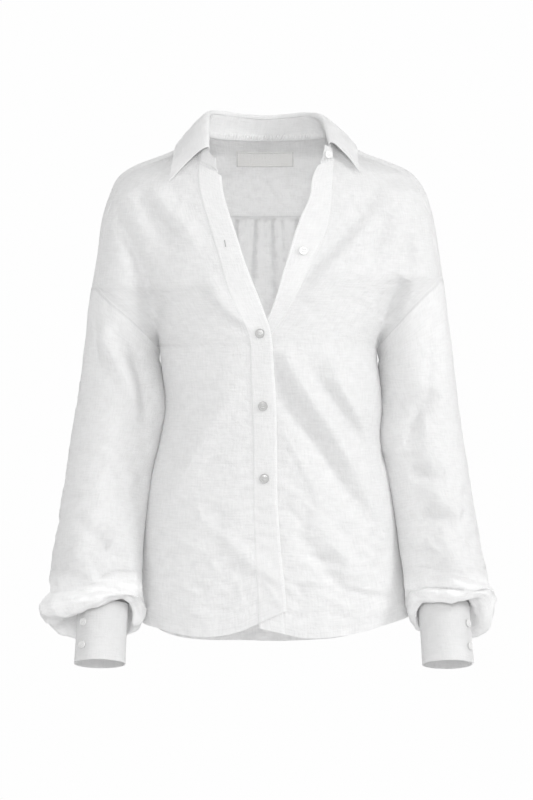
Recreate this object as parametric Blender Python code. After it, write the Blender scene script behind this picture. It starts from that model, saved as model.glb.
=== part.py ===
"""White linen button-up shirt in its worn form, hollow and open.

Lengths in the tables are millimetres and are turned into metres where the points are made.
+X is the wearer's left, -Y the front, +Z up.  The origin is the mid point between the
shoulders where the neck begins.
"""

import math

import bmesh
import bpy
import numpy as np
from mathutils import Vector
from mathutils.geometry import delaunay_2d_cdt

MM = 0.001
WALL = 1.6 * MM            # panels and sleeves
BAND_WALL = 1.8 * MM       # plackets, collar and cuffs
LABEL_WALL = 1.0 * MM
SEAM_GAP = 0.3 * MM        # between pieces sewn together
LIE_GAP = 0.35 * MM        # between a piece and what lies on it
JOIN_POWER = 5.0           # how sharply the body and arm forms run together
YOKE_FORWARD = 8.0         # drop of the forward shoulder seam below the ridge
UNDERARM_Z = -275.0
LAP_LIFT = 1.6             # right front raised at the middle, so that it laps the left
LAP_SINK = 1.3             # left front sunk at the middle
LAP_FADE = 60.0            # width over which lift and sink fade out
PLACKET_SPLITS = (0.0, 0.4, 0.8, 1.0)
FRONT_COLUMNS = 13
SIDE_ROWS = 13
BUTTON_RADIUS = 6.2 * MM
CUFF_BUTTON_RADIUS = 5.4 * MM
BUTTON_THICK = 2.2 * MM

BUTTON_SEGMENTS = 10
BUTTON_DISHED = 0.74       # share of the radius that is dished
BUTTON_DISH_HIGH = 0.62    # height of the dished middle as a share of the thickness
BUTTON_RIM = ((0.87, 1.0), (1.0, 0.6), (0.92, 0.0))   # radius and height shares of the rim
BUTTON_HOLE_PLACE = 0.30   # of the dished radius, from the middle to each thread hole
BUTTON_HOLE_RADIUS = 0.13
BUTTON_REACH = 8 * MM      # depth of surface that counts under a button

# Body sections from the neck to the hem: half widths, depths and roundness.
BODY_COLUMNS = ("z", "right", "left", "front", "back", "power")
BODY = (
    (19.3, 80.0, 82.0, 46.0, 50.0, 1.80),
    (5.0, 115.0, 117.0, 54.0, 62.0, 1.60),
    (-8.3, 145.6, 145.6, 60.0, 71.0, 1.60),
    (-19.3, 174.6, 176.0, 64.0, 78.0, 1.70),
    (-30.4, 195.3, 198.0, 68.0, 84.0, 1.85),
    (-41.4, 206.3, 209.1, 71.5, 88.0, 2.00),
    (-63.5, 214.0, 221.5, 77.0, 94.0, 2.15),
    (-90.0, 206.0, 221.0, 83.0, 99.0, 2.25),
    (-124.0, 194.0, 213.0, 91.0, 104.0, 2.30),
    (-151.0, 183.0, 204.0, 97.0, 106.0, 2.35),
    (-181.0, 173.0, 193.0, 103.5, 107.0, 2.40),
    (-203.0, 165.0, 184.0, 107.0, 107.0, 2.40),
    (-240.0, 154.0, 167.0, 111.5, 106.0, 2.40),
    (-275.0, 146.4, 153.0, 112.5, 103.0, 2.40),
    (-304.0, 143.5, 155.3, 111.0, 101.0, 2.40),
    (-337.0, 139.0, 159.0, 108.0, 99.0, 2.40),
    (-359.0, 138.7, 160.0, 106.0, 98.0, 2.40),
    (-399.0, 146.0, 157.5, 104.0, 99.0, 2.40),
    (-448.0, 158.0, 168.5, 104.0, 101.0, 2.40),
    (-494.0, 165.0, 177.0, 106.0, 104.0, 2.40),
    (-540.0, 169.6, 183.7, 108.0, 107.0, 2.40),
    (-588.0, 171.8, 191.0, 110.0, 109.0, 2.40),
    (-638.0, 170.4, 197.5, 112.0, 111.0, 2.40),
    (-700.0, 168.0, 200.0, 113.0, 112.0, 2.40),
)

ARM_FADE = (-60.0, -32.0)  # heights over which the arm form runs out at the shoulder
ARM_TOP_Z = -45.0          # over this height the outline is the body's alone
RELIEF_DEPTHS = (4.0, 45.0)   # folds grow from none to full over these depths
SIDE_SQUEEZE = 0.28        # how much closer the columns of a front are at the side

# Upper arm sections, which run into the body above the underarm.
ARM_COLUMNS = ("z", "outer", "inner", "front", "back")
ARMS = {
    "right": (
        (-30.0, 194.0, 125.0, 42.0, 50.0),
        (-63.0, 216.0, 116.0, 54.0, 60.0),
        (-90.0, 225.0, 118.0, 58.0, 65.0),
        (-124.0, 229.5, 122.0, 60.0, 66.0),
        (-151.0, 233.5, 127.0, 60.0, 65.0),
        (-189.0, 240.0, 133.0, 59.0, 62.5),
        (-240.0, 247.0, 143.0, 58.5, 60.0),
        (-275.0, 250.5, 148.3, 58.0, 58.0),
        (-340.0, 259.0, 140.9, 58.0, 57.0),
    ),
    "left": (
        (-30.0, 197.0, 125.0, 42.0, 50.0),
        (-63.0, 221.0, 118.0, 54.0, 60.0),
        (-90.0, 229.5, 122.0, 58.0, 65.0),
        (-124.0, 235.8, 128.0, 60.0, 66.0),
        (-151.0, 240.0, 133.0, 60.0, 65.0),
        (-189.0, 245.0, 140.0, 59.0, 62.5),
        (-240.0, 251.8, 149.0, 58.5, 60.0),
        (-275.0, 256.3, 154.8, 58.0, 58.0),
        (-340.0, 263.5, 162.0, 57.0, 57.0),
    ),
}

# Sleeve rings under the armhole, down to the cuff: side points, centre and tilt.
SLEEVE_COLUMNS = ("z", "outer", "inner", "middle", "front", "back", "tilt")
SLEEVES = {
    "right": (
        (-340.0, 259.0, 140.9, 0.0, 58.0, 57.0, 0.0),
        (-372.0, 264.8, 142.5, 1.0, 58.0, 56.0, 3.0),
        (-405.0, 269.5, 149.0, 0.0, 57.0, 56.0, 5.0),
        (-440.0, 274.8, 158.2, -5.0, 56.0, 55.0, 8.0),
        (-475.0, 279.0, 166.0, -12.0, 55.0, 54.0, 10.0),
        (-508.0, 282.8, 170.8, -19.0, 54.5, 53.5, 11.0),
        (-540.0, 287.0, 174.0, -27.0, 54.5, 53.0, 12.0),
        (-568.0, 291.0, 175.5, -36.0, 55.5, 53.5, 13.0),
        (-588.0, 293.4, 174.0, -43.0, 56.5, 55.0, 13.0),
        (-605.0, 291.4, 170.5, -49.0, 53.5, 52.5, 13.0),
        (-620.0, 301.5, 166.5, -54.0, 59.0, 58.0, 17.0),
        (-635.0, 306.6, 165.0, -58.0, 61.0, 60.0, 20.0),
        (-648.0, 301.0, 169.5, -59.0, 58.5, 57.5, 23.0),
        (-652.5, 289.0, 178.0, -59.0, 52.5, 51.0, 24.0),
        (-647.0, 275.0, 179.5, -58.0, 46.5, 46.0, 22.0),
        (-638.0, 262.5, 180.5, -57.0, 41.5, 41.5, 19.0),
    ),
    "left": (
        (-340.0, 263.5, 162.0, 0.0, 57.0, 57.0, 0.0),
        (-372.0, 267.5, 161.2, 1.0, 57.0, 56.0, 3.0),
        (-405.0, 272.0, 160.6, 0.0, 56.5, 56.0, 5.0),
        (-440.0, 277.5, 169.2, -5.0, 55.5, 55.0, 8.0),
        (-475.0, 281.8, 176.8, -12.0, 54.5, 54.0, 10.0),
        (-508.0, 286.0, 182.0, -19.0, 54.0, 53.5, 11.0),
        (-540.0, 291.5, 187.6, -27.0, 54.0, 53.0, 12.0),
        (-560.0, 294.5, 192.5, -34.0, 54.5, 53.0, 13.0),
        (-578.0, 298.0, 195.5, -40.0, 54.5, 53.0, 13.0),
        (-594.0, 301.0, 191.5, -46.0, 53.5, 52.5, 14.0),
        (-608.0, 307.0, 190.0, -51.0, 58.5, 57.0, 18.0),
        (-624.0, 309.5, 190.5, -55.0, 60.0, 59.0, 21.0),
        (-642.0, 306.0, 195.0, -58.0, 57.5, 57.0, 25.0),
        (-648.5, 296.0, 203.0, -58.5, 51.0, 50.5, 26.0),
        (-643.0, 287.0, 199.5, -58.0, 46.0, 45.5, 23.0),
        (-636.0, 281.0, 199.5, -57.0, 41.5, 41.5, 19.0),
    ),
}

# Cuffs: middle of the top and bottom rims, half width, half depth and tilt.
CUFFS = {
    "right": {"top": (220.4, -54.5, -623.0), "bottom": (223.4, -78.0, -699.5), "wide": 34.6,
              "deep": 34.8, "lap_end": -56.0, "turn": -1.0, "buttons": (0.36, 0.74)},
    "left": {"top": (239.5, -54.0, -622.0), "bottom": (243.9, -78.0, -700.5), "wide": 33.4,
             "deep": 34.8, "lap_end": 75.0, "turn": 1.0, "buttons": (0.36, 0.74)},
}
CUFF_TILT = 17.0
SLEEVE_TOP_SHARES = (0.3, 0.62, 1.0)   # rings between the armhole and the first table row
SLEEVE_TOP_END = -312.0
CUFF_STEPS = 22
CUFF_LAP = 34.0            # degrees of lapped end
CUFF_RISE = 2.65           # extra radius of the lapped end
SLEEVE_END_CLEAR = 1.0     # round the cuff, measured between the flat facets
SLEEVE_END_LOOK = 24.0     # degrees within which the highest part of the lap counts
SLEEVE_END_DOWN = 0.07     # the sleeve ends at this share of the cuff's height

# Side columns of the yoke: height on the ridge, and where the back seam is.
YOKE_COLUMNS = ("ridge_right", "ridge_left", "back_right", "back_left", "back_z")
YOKE_SIDE = (
    (-189.0, -177.0, 190.3, 197.0, -228.0),
    (-142.0, -136.0, 189.0, 195.5, -198.0),
    (-98.0, -96.0, 186.5, 193.0, -168.0),
    (-62.0, -61.0, 182.5, 188.0, -140.0),
    (-40.0, -40.0, 176.0, 180.0, -117.0),
    (-27.0, -27.0, 165.5, 168.0, -99.5),
    (-17.8, -13.4, 151.0, 152.0, -89.0),
    (-6.0, -6.0, 135.0, 135.0, -84.0),
    (4.0, 4.0, 118.0, 118.0, -84.0),
    (14.3, 14.3, 100.0, 100.0, -84.0),
)
YOKE_TOP = 7               # first row of the table on the straight back seam
CORNER_SHARE = 0.12        # the first row is this far down from the neck corner
CORNER_ROW = 3             # row of a front that starts at the top of its placket
EXTRA_ROWS = 3             # long steps of the shoulder seam that get a row between
YOKE_MIDDLE = ((86.5, 16.3, 90.0), (80.0, 18.4, 77.0), (67.0, 18.5, 64.0),
               (54.0, 18.5, 52.0), (40.3, 18.5, 40.3), (27.0, 18.5, 27.0),
               (13.5, 18.5, 13.5), (0.0, 18.5, 0.0))   # neck x, neck z, back seam x
YOKE_BACK_Z = -84.0
YOKE_STEPS = (-1.0, -0.5, 0.0, 0.2, 0.4, 0.6, 0.8, 1.0)     # front seam -1, ridge 0, back 1
YOKE_NECK_STEPS = (-1.0, 0.0, 0.36, 0.53, 0.67, 0.79, 0.90, 1.0)   # the same by the neck
YOKE_NECK_COLUMNS = 3      # columns over which one changes into the other
YOKE_MIDDLE_STEPS = (0.0, 0.1376, 0.317, 0.45, 0.59, 0.73, 0.865, 1.0)
LABEL_COLUMNS = 3          # yoke columns on each side of the middle behind the label
LABEL_ROWS = (1, 2)

# Armhole seam on the front, from the top of the sleeve to the underarm.
ARMHOLE = {
    "right": ((-189.0, 231.4), (-198.7, 222.9), (-214.0, 207.0), (-233.2, 184.2),
              (-247.0, 170.2), (-260.8, 157.5), (-268.5, 151.8), (-275.0, 146.4)),
    "left": ((-177.0, 237.0), (-188.0, 228.0), (-198.7, 216.0), (-224.3, 192.5),
             (-247.0, 173.5), (-262.0, 160.5), (-269.0, 155.6), (-275.0, 153.0)),
}
ARMHOLE_FRONT = (-200.5, -214.0, -228.0, -243.0, -257.0, -267.5)
ARMHOLE_BACK = (-243.0, -257.0, -267.5)
ARMHOLE_FRONT_NEAR = 6.0   # a front row this near the top of the armhole is left out
ARMHOLE_FRONT_FAR = 18.0   # over this height above the first row there is one more
ARMHOLE_FRONT_RISE = 11.5

# Neck and placket seams and the free edges of the plackets, top to bottom.
PLACKETS = {
    "right": {
        "seam": ((14.0, -88.6), (0.0, -90.4), (-25.3, -91.4), (-55.1, -91.0), (-82.7, -84.6),
                 (-119.8, -74.0), (-153.8, -63.5), (-191.0, -53.2), (-230.1, -36.8),
                 (-256.0, -24.8), (-269.3, -21.5), (-299.8, -20.9), (-335.7, -19.3),
                 (-410.0, -17.2), (-500.0, -16.6), (-557.8, -14.0), (-610.8, -11.3),
                 (-660.0, -9.5)),
        "edge": ((-43.0, -60.0), (-62.4, -57.6), (-89.9, -50.6), (-115.4, -42.2),
                 (-158.1, -28.7), (-212.0, -8.2), (-232.0, -0.7), (-247.4, 4.6),
                 (-267.3, 8.2), (-300.2, 10.5), (-344.3, 13.2), (-388.6, 14.5),
                 (-432.7, 14.9), (-476.8, 15.3), (-520.7, 18.0), (-557.8, 20.4),
                 (-625.4, 27.2)),
        "top": ((-91.4, -25.3), (-60.0, -43.0)),
    },
    "left": {
        "seam": ((14.0, 88.6), (0.0, 90.6), (-20.9, 91.5), (-50.4, 88.8), (-73.1, 87.9),
                 (-120.6, 79.3), (-158.0, 62.8), (-215.9, 34.7), (-238.7, 21.5),
                 (-256.0, 9.0), (-269.0, 6.6), (-300.2, 8.0), (-344.3, 10.7),
                 (-388.6, 12.0), (-432.7, 12.4), (-476.8, 12.8), (-520.7, 15.5),
                 (-557.8, 17.9), (-660.0, 26.0)),
        "edge": ((-28.0, 69.6), (-33.6, 66.2), (-73.4, 57.7), (-95.8, 47.6), (-158.1, 27.4),
                 (-236.0, 2.0), (-256.0, -8.5), (-275.0, -17.5), (-300.0, -19.5),
                 (-335.7, -18.0), (-410.0, -16.0), (-500.0, -15.0), (-557.8, -12.6),
                 (-660.0, -8.5)),
        "top": ((91.5, -20.9), (69.6, -28.0)),
    },
}

PLACKET_SLANT = (-110.0, -25.0)   # heights over which the rows come to slant like the top
LAP_TOP = (-245.0, -200.0)        # the fronts lap below these heights
LAP_EDGE = 5.0

# Bottom edges, as height against x.
HEMS = {
    "right": ((-170.0, -650.0), (-143.5, -652.9), (-122.6, -657.2), (-102.2, -660.1),
              (-81.9, -660.7), (-61.9, -658.9), (-41.9, -654.7), (-21.9, -647.9),
              (-6.0, -639.9), (11.3, -632.0), (27.2, -625.4)),
    "left": ((-12.0, -648.0), (10.0, -652.6), (29.9, -657.2), (47.2, -661.0),
             (89.2, -660.6), (126.3, -655.9), (164.9, -646.6), (197.0, -640.3)),
    "back": ((-170.0, -650.0), (-150.0, -669.0), (-129.1, -679.3), (-89.4, -686.7),
             (-36.5, -688.3), (24.3, -689.8), (60.0, -688.0), (110.0, -682.0),
             (150.0, -668.0), (180.0, -650.0), (197.0, -640.3)),
}
HEM_BLEND = -500.0         # rows start to follow the hem below this
HEM_LEVEL = -645.0         # where they would end without following it

FOLD_SPREAD = 1.3          # the folds are this much wider than the table says
FOLD_ENDS = 0.25           # share of a fold's height left at its two ends
FOLD_TAPER = 0.7
# The largest folds: height over the form, half width, and x, z along the crest.
FRONT_FOLDS = (
    (7.0, 15.0, ((12, -268), (57, -338), (91, -385), (131, -451), (176, -536))),
    (-6.0, 12.0, ((12, -280), (25, -338), (58, -385), (105, -465), (140, -508))),
    (4.5, 12.0, ((78, -270), (104, -331), (138, -385), (156, -430))),
    (-5.5, 11.0, ((58, -303), (98, -357), (131, -411))),
    (-5.0, 10.0, ((38, -200), (69, -160), (100, -128), (122, -103), (155, -60))),
    (4.0, 12.0, ((50, -215), (82, -175), (118, -140), (150, -100))),
    (-4.0, 13.0, ((167, -94), (146, -134), (135, -160))),
    (-4.5, 13.0, ((196, -120), (186, -172))),
    (4.5, 13.0, ((-156, -58), (-136, -82), (-108, -115), (-90, -145))),
    (-5.0, 11.0, ((-175, -58), (-157, -86), (-126, -134))),
    (4.0, 12.0, ((-80, -178), (-60, -212), (-30, -240))),
    (4.5, 17.0, ((-36, -318), (-67, -370), (-101, -421), (-134, -478))),
    (-8.0, 11.0, ((-206, -84), (-194, -110), (-180, -140), (-167, -172), (-155, -206),
                  (-149, -232))),
    (-7.0, 12.0, ((186, -180), (172, -205), (162, -238))),
    (3.5, 12.0, ((-60, -520), (-20, -560), (20, -590))),
    (4.0, 13.0, ((60, -500), (100, -545), (140, -590))),
    (-4.0, 12.0, ((40, -520), (80, -570), (110, -610))),
)
BACK_FOLDS = (
    (5.0, 16.0, ((-60, -300), (-95, -370), (-130, -440), (-150, -500))),
    (5.0, 16.0, ((70, -300), (105, -370), (140, -450), (160, -510))),
    (-5.0, 14.0, ((150, -120), (125, -170), (110, -220))),
    (-5.0, 14.0, ((-150, -120), (-125, -170), (-110, -220))),
    (-7.0, 12.0, ((172, -205), (162, -240))),
    (-7.0, 12.0, ((-160, -205), (-152, -240))),
    (4.0, 15.0, ((-90, -520), (-20, -550), (60, -560), (120, -600))),
)
SLEEVE_FOLDS = (
    (4.0, 13.0, ((-222, -215), (-219, -263), (-201, -293), (-182, -331), (-160, -380))),
    (-5.0, 12.0, ((-200, -240), (-181, -280), (-163, -330), (-158, -380))),
    (-4.0, 11.0, ((-236, -520), (-205, -540))),
    (4.0, 12.0, ((-262, -545), (-235, -570), (-215, -585))),
    (-4.5, 11.0, ((192, -390), (210, -359), (232, -333))),
    (-4.5, 11.0, ((190, -440), (218, -447), (246, -450))),
    (-4.0, 11.0, ((208, -497), (254, -507))),
    (3.5, 11.0, ((228, -478), (265, -498))),
)
GATHERS = ((-40.3, 3.5), (-13.5, 4.0), (13.5, 4.0), (40.3, 3.5), (-64.0, 2.0), (64.0, 2.0))
GATHER_WIDTH = 8.0
GATHER_SPREAD = 0.35       # how much they part on the way down
GATHER_START = (1.0, 22.0)
GATHER_FADE = 60.0
SLEEVE_FACING = (5.0, 35.0)       # folds lie on the front of a sleeve, from these depths
SLEEVE_FOLD_END = (-610.0, -585.0)   # heights over which the folds run out
GATHER_LENGTH = 170.0

# Collar: share of the neck seam, roll line and outer edge of the fall.
COLLAR_COLUMNS = ("share", "roll_x", "roll_y", "roll_z", "edge_x", "edge_y", "edge_z")
COLLAR = (
    (-1.00, -68.3, -66.0, -14.4, 0.0, 0.0, 0.0),
    (-0.86, -77.6, -52.0, -2.6, -130.5, -63.0, -50.2),
    (-0.75, -78.6, -37.0, 15.0, -128.6, -57.0, -34.7),
    (-0.65, -79.0, -19.0, 33.5, -126.4, -46.5, -19.9),
    (-0.52, -77.9, -1.0, 50.0, -123.0, -12.0, 3.8),
    (-0.40, -70.0, 17.0, 55.6, -115.5, 24.0, 5.0),
    (-0.28, -51.0, 32.0, 55.6, -99.0, 46.0, 2.0),
    (-0.14, -24.0, 40.5, 53.2, -55.0, 64.5, 0.5),
    (0.00, 0.0, 43.0, 52.0, 0.0, 71.0, 0.0),
    (0.14, 28.0, 40.5, 53.8, 55.0, 64.5, 1.0),
    (0.28, 54.0, 30.0, 54.6, 99.0, 46.0, 3.0),
    (0.40, 68.0, 15.0, 51.5, 115.0, 24.0, 6.5),
    (0.52, 76.5, -2.0, 43.0, 121.5, -12.0, 6.0),
    (0.65, 81.5, -22.0, 29.0, 124.5, -45.5, -13.0),
    (0.75, 84.2, -36.0, 15.5, 125.5, -52.5, -25.0),
    (0.86, 86.8, -50.0, 3.8, 126.5, -59.5, -37.1),
    (1.00, 80.4, -63.0, 4.6, 0.0, 0.0, 0.0),
)
FALL_SHARE = 0.86          # the fall ends short of the ends of the stand
FALL_COLUMNS = 25
FALL_STEPS = (0.0, 0.08, 0.17, 0.28, 0.45, 0.70, 1.0)
ROLL_DROP = 4.5            # the stand ends this far below the roll line
ROLL_RISE = 7.0
ROLL_OUT = 9.0
ROLL_OVER = 9.0            # rise of the fall over the middle of its way down
ROLL_SHARE = 0.45          # how far that place is on the way to the outer edge
STAND_BULGE = 1.5
FALL_INSET = 0.3

# Button places, x against z, down the front.
FRONT_BUTTONS = (("button_front_1", 50.1, -145.8, "left"),
                 ("button_front_2", -8.0, -256.7, "right"),
                 ("button_front_3", -4.0, -353.0, "right"),
                 ("button_front_4", -2.0, -449.6, "right"))
COLLAR_BUTTON = (0.955, 0.5)   # share of the neck seam, height on the stand

# Finishes: base colour and roughness.
LINEN = ((0.86, 0.86, 0.855), 0.82)
LABEL_CLOTH = ((0.88, 0.87, 0.84), 0.6)
BUTTON_FINISH = ((0.90, 0.90, 0.89), 0.28)


def smooth(x, places, values):
    """Smooth curve through values at rising places."""
    places = np.asarray(places, float)
    values = np.asarray(values, float)
    slopes = np.gradient(values, places)
    x = np.clip(np.asarray(x, float), places[0], places[-1])
    i = np.clip(np.searchsorted(places, x) - 1, 0, len(places) - 2)
    h = places[i + 1] - places[i]
    t = (x - places[i]) / h
    a = (1 + 2 * t) * (1 - t) ** 2 * values[i] + t * (1 - t) ** 2 * h * slopes[i]
    return a + t * t * (3 - 2 * t) * values[i + 1] + t * t * (t - 1) * h * slopes[i + 1]


def step(x, low, high):
    """Zero below low, one above high, smooth between."""
    t = np.clip((np.asarray(x, float) - low) / (high - low), 0.0, 1.0)
    return t * t * (3 - 2 * t)


def by_height(table, columns, name, z):
    """Value of a named column of a table that runs downwards."""
    rows = np.asarray(table, float)[::-1]
    return smooth(z, rows[:, 0], rows[:, columns.index(name)])


def by_side(x, right, left):
    """Right value where x is on the wearer's right, left value elsewhere."""
    return np.where(np.asarray(x, float) < 0, right, left)


def body_half(z, side):
    return by_height(BODY, BODY_COLUMNS, side, z)


def body_depth(x, z, face):
    """Depth of the body form in front of or behind the middle plane."""
    half = by_side(x, body_half(z, "right"), body_half(z, "left"))
    power = by_height(BODY, BODY_COLUMNS, "power", z)
    inside = np.clip(1 - (np.abs(x) / half) ** power, 0, 1)
    return by_height(BODY, BODY_COLUMNS, face, z) * inside ** (1 / power)


def arm_value(x, z, name):
    right = by_height(ARMS["right"], ARM_COLUMNS, name, z)
    left = by_height(ARMS["left"], ARM_COLUMNS, name, z)
    return by_side(x, right, left)


def arm_depth(x, z, face):
    """Depth of the upper arm's form, fading out at the top of the shoulder."""
    outer = arm_value(x, z, "outer")
    inner = arm_value(x, z, "inner")
    r = (np.abs(x) - (outer + inner) / 2) / ((outer - inner) / 2)
    fade = 1 - step(z, *ARM_FADE)
    return arm_value(x, z, face) * np.sqrt(np.clip(1 - r * r, 0, 1)) * fade


def fold_height(x, z, folds):
    """Sum of all fold crests and troughs at x, z."""
    x = np.asarray(x, float)
    z = np.asarray(z, float)
    total = np.zeros(np.broadcast(x, z).shape)
    for height, width, crest in folds:
        crest = np.asarray(crest, float)
        total = total + height * crest_share(x, z, crest, width * FOLD_SPREAD)
    return total


def crest_share(x, z, crest, width):
    """One on the crest line, zero away from it, tapering to its ends."""
    lengths = np.hypot(*np.diff(crest, axis=0).T)
    whole = lengths.sum()
    best = np.full(np.broadcast(x, z).shape, np.inf)
    along = np.zeros_like(best)
    start = 0.0
    for a, b, length in zip(crest[:-1], crest[1:], lengths):
        t = ((x - a[0]) * (b[0] - a[0]) + (z - a[1]) * (b[1] - a[1])) / length**2
        t = np.clip(t, 0, 1)
        gap = np.hypot(x - a[0] - t * (b[0] - a[0]), z - a[1] - t * (b[1] - a[1]))
        along = np.where(gap < best, (start + t * length) / whole, along)
        best = np.minimum(best, gap)
        start += length
    taper = np.clip(4 * along * (1 - along), 0, 1) ** FOLD_TAPER
    return np.exp(-((best / width) ** 2)) * (FOLD_ENDS + (1 - FOLD_ENDS) * taper)


def gather_height(x, z):
    """Gathers below the back yoke seam, spreading and fading downwards."""
    drop = YOKE_BACK_Z - np.asarray(z, float)
    spread = 1 + GATHER_SPREAD * step(drop, 0, GATHER_LENGTH)
    size = step(drop, *GATHER_START) * (1 - step(drop, GATHER_FADE, GATHER_LENGTH))
    total = 0.0
    for place, height in GATHERS:
        total = total + height * np.exp(-(((x - place * spread) / (GATHER_WIDTH * spread)) ** 2))
    return total * size


def shell(x, z, face):
    """Depth of the whole form, front or back, with its folds."""
    body = body_depth(x, z, face)
    arm = arm_depth(x, z, face) * step(z, UNDERARM_Z - 1, UNDERARM_Z)
    depth = (body**JOIN_POWER + arm**JOIN_POWER) ** (1 / JOIN_POWER)
    if face == "front":
        relief = fold_height(x, z, FRONT_FOLDS)
    else:
        relief = fold_height(x, z, BACK_FOLDS) + gather_height(x, z)
    return depth + relief * step(depth, *RELIEF_DEPTHS)


def point(x, z, face, lift=0.0):
    """Points in metres on the form, moved outwards in depth by lift."""
    x, z, lift = np.broadcast_arrays(np.asarray(x, float), np.asarray(z, float), lift)
    depth = shell(x, z, face) + lift
    y = -depth if face == "front" else depth
    return np.stack([x, y, z], axis=-1) * MM


def outer_edge(z, side):
    """Half width of the outline, over the arm above the underarm."""
    arm = by_height(ARMS[side], ARM_COLUMNS, "outer", z)
    body = body_half(z, side)
    over = (z > UNDERARM_Z) & (z < ARM_TOP_Z)
    return np.where(over, np.maximum(arm, body), body)


def ridge_normal(z, side):
    """Direction from the ridge of the shoulder inwards, as x towards the middle and z."""
    rise = 0.5
    slope = (outer_edge(z + rise, side) - outer_edge(z - rise, side)) / (2 * rise)
    length = math.hypot(1.0, float(slope))
    return 1.0 / length, float(slope) / length


def front_seam_point(z, side):
    """Half width and height of the forward shoulder seam beside ridge height z."""
    along, down = ridge_normal(z, side)
    x = float(outer_edge(z, side)) - YOKE_FORWARD * along
    return x, z + YOKE_FORWARD * down


def sign_of(side):
    return -1.0 if side == "right" else 1.0


def yoke_row(row):
    return dict(zip(YOKE_COLUMNS, row))


def shoulder_rows(side):
    """Row ends along the shoulder seam, with rows between where its steps are long."""
    seam = shoulder_seam(side)
    rows = seam[:len(seam) - EXTRA_ROWS]
    for last, end in zip(seam[-EXTRA_ROWS - 1:-1], seam[-EXTRA_ROWS:]):
        rows.append(((last[0] + end[0]) / 2, (last[1] + end[1]) / 2))
        rows.append(end)
    return rows


def shoulder_seam(side):
    """Forward shoulder seam from the neck to the armhole as half width and height."""
    seam = []
    for row in reversed(YOKE_SIDE):
        seam.append(front_seam_point(yoke_row(row)["ridge_" + side], side))
    top = ARMHOLE[side][0]
    seam[-1] = (top[1], top[0])
    return seam


def armhole_front(side):
    """Armhole seam on the front, top to bottom, without both ends."""
    rows = np.asarray(ARMHOLE[side], float)[::-1]
    top = ARMHOLE[side][0][0]
    heights = [z for z in ARMHOLE_FRONT if z < top - ARMHOLE_FRONT_NEAR]
    if top > ARMHOLE_FRONT[0] + ARMHOLE_FRONT_FAR:
        heights.insert(0, ARMHOLE_FRONT[0] + ARMHOLE_FRONT_RISE)
    return [(float(np.interp(z, rows[:, 0], rows[:, 1])), z) for z in heights]


def armhole_back(side):
    """Armhole seam on the back, from the yoke's end down to the underarm."""
    end = yoke_row(YOKE_SIDE[0])
    rows = np.asarray(ARMHOLE[side], float)[::-1]
    offset = end["back_" + side] - np.interp(end["back_z"], rows[:, 0], rows[:, 1])
    seam = []
    for z in ARMHOLE_BACK:
        share = (z - UNDERARM_Z) / (end["back_z"] - UNDERARM_Z)
        seam.append((float(np.interp(z, rows[:, 0], rows[:, 1]) + offset * share), z))
    return seam


def run_points(x_from, x_to, z, shares, face, lift):
    """Points of one row, at shares of its length from x_from to x_to."""
    t = (1 - np.cos(np.linspace(0, math.pi, 400))) / 2
    x = x_from + (x_to - x_from) * t
    y = shell(x, z, face)
    run = np.concatenate([[0.0], np.cumsum(np.hypot(np.diff(x), np.diff(y)))])
    places = np.interp(np.asarray(shares) * run[-1], run, x)
    places[0] = x_from
    places[-1] = x_to
    return point(places, z, face, lift(places, z))


def lap(side):
    """Lift of the lapped middle of one front, fading out sideways."""
    amount = LAP_LIFT if side == "right" else -LAP_SINK

    def lift(x, z):
        start = np.interp(z, *seam_arrays(side, "seam"))
        away = np.abs(np.asarray(x, float) - start) * (sign_of(side) * (x - start) > 0)
        low = 1 - step(z, *LAP_TOP)
        return amount * low * (1 - step(away, LAP_EDGE, LAP_FADE))

    return lift


def seam_arrays(side, name):
    rows = np.asarray(PLACKETS[side][name], float)[::-1]
    return rows[:, 0], rows[:, 1]


def seam_x(side, name, z):
    places, values = seam_arrays(side, name)
    return float(smooth(z, places, values))


def hem_height(x, which):
    rows = np.asarray(HEMS[which], float)
    return smooth(x, rows[:, 0], rows[:, 1])


def front_rows(side):
    """Start x, end x and height of each row of a front, top to bottom."""
    s = sign_of(side)
    rows = []
    for half, z in shoulder_rows(side) + armhole_front(side):
        rows.append((seam_x(side, "seam", z), s * half, z))
    for z in np.linspace(UNDERARM_Z, HEM_LEVEL, SIDE_ROWS + 1):
        rows.append((seam_x(side, "seam", z), s * float(body_half(z, side)), z))
    return rows


def hem_shift(x, z, side):
    """How far a point of a row moves down or up to follow the hem."""
    share = np.clip((HEM_BLEND - z) / (HEM_BLEND - HEM_LEVEL), 0, 1)
    return share * (hem_height(x, side) - HEM_LEVEL)


def front_shares():
    """Column shares across a front, closer together towards the side."""
    t = np.linspace(0, 1, FRONT_COLUMNS)
    return 1 - (1 - t) * (1 - SIDE_SQUEEZE * t)


def follow_hem(grid, side, which, lift):
    """Move the low rows so that the last one lies on the hem."""
    out = []
    for row in grid:
        x = row[:, 0] / MM
        z = row[:, 2] / MM
        if z[0] > HEM_BLEND:
            out.append(row)
            continue
        new_z = z + hem_shift(x, z, which)
        new_x = x * (body_half(new_z, side) / body_half(z, side))
        face_row = point(new_x, new_z, "front", lift(new_x, new_z))
        out.append(face_row)
    return out


def front_grid(side):
    """Rows of points of one front panel."""
    lift = lap(side)
    shares = front_shares()
    grid = [run_points(a, b, z, shares, "front", lift) for a, b, z in front_rows(side)]
    straighten_extra(grid)
    corner = grid[0][-1]
    grid[0] = corner + (grid[1] - corner) * CORNER_SHARE
    return np.array(follow_hem(grid, side, side, lift))


def straighten_extra(grid):
    """Put the ends of the rows between on the straight line to their neighbours."""
    first = len(YOKE_SIDE) - EXTRA_ROWS
    for i in range(first, first + 2 * EXTRA_ROWS, 2):
        grid[i][-1] = (grid[i - 1][-1] + grid[i + 1][-1]) / 2


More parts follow.
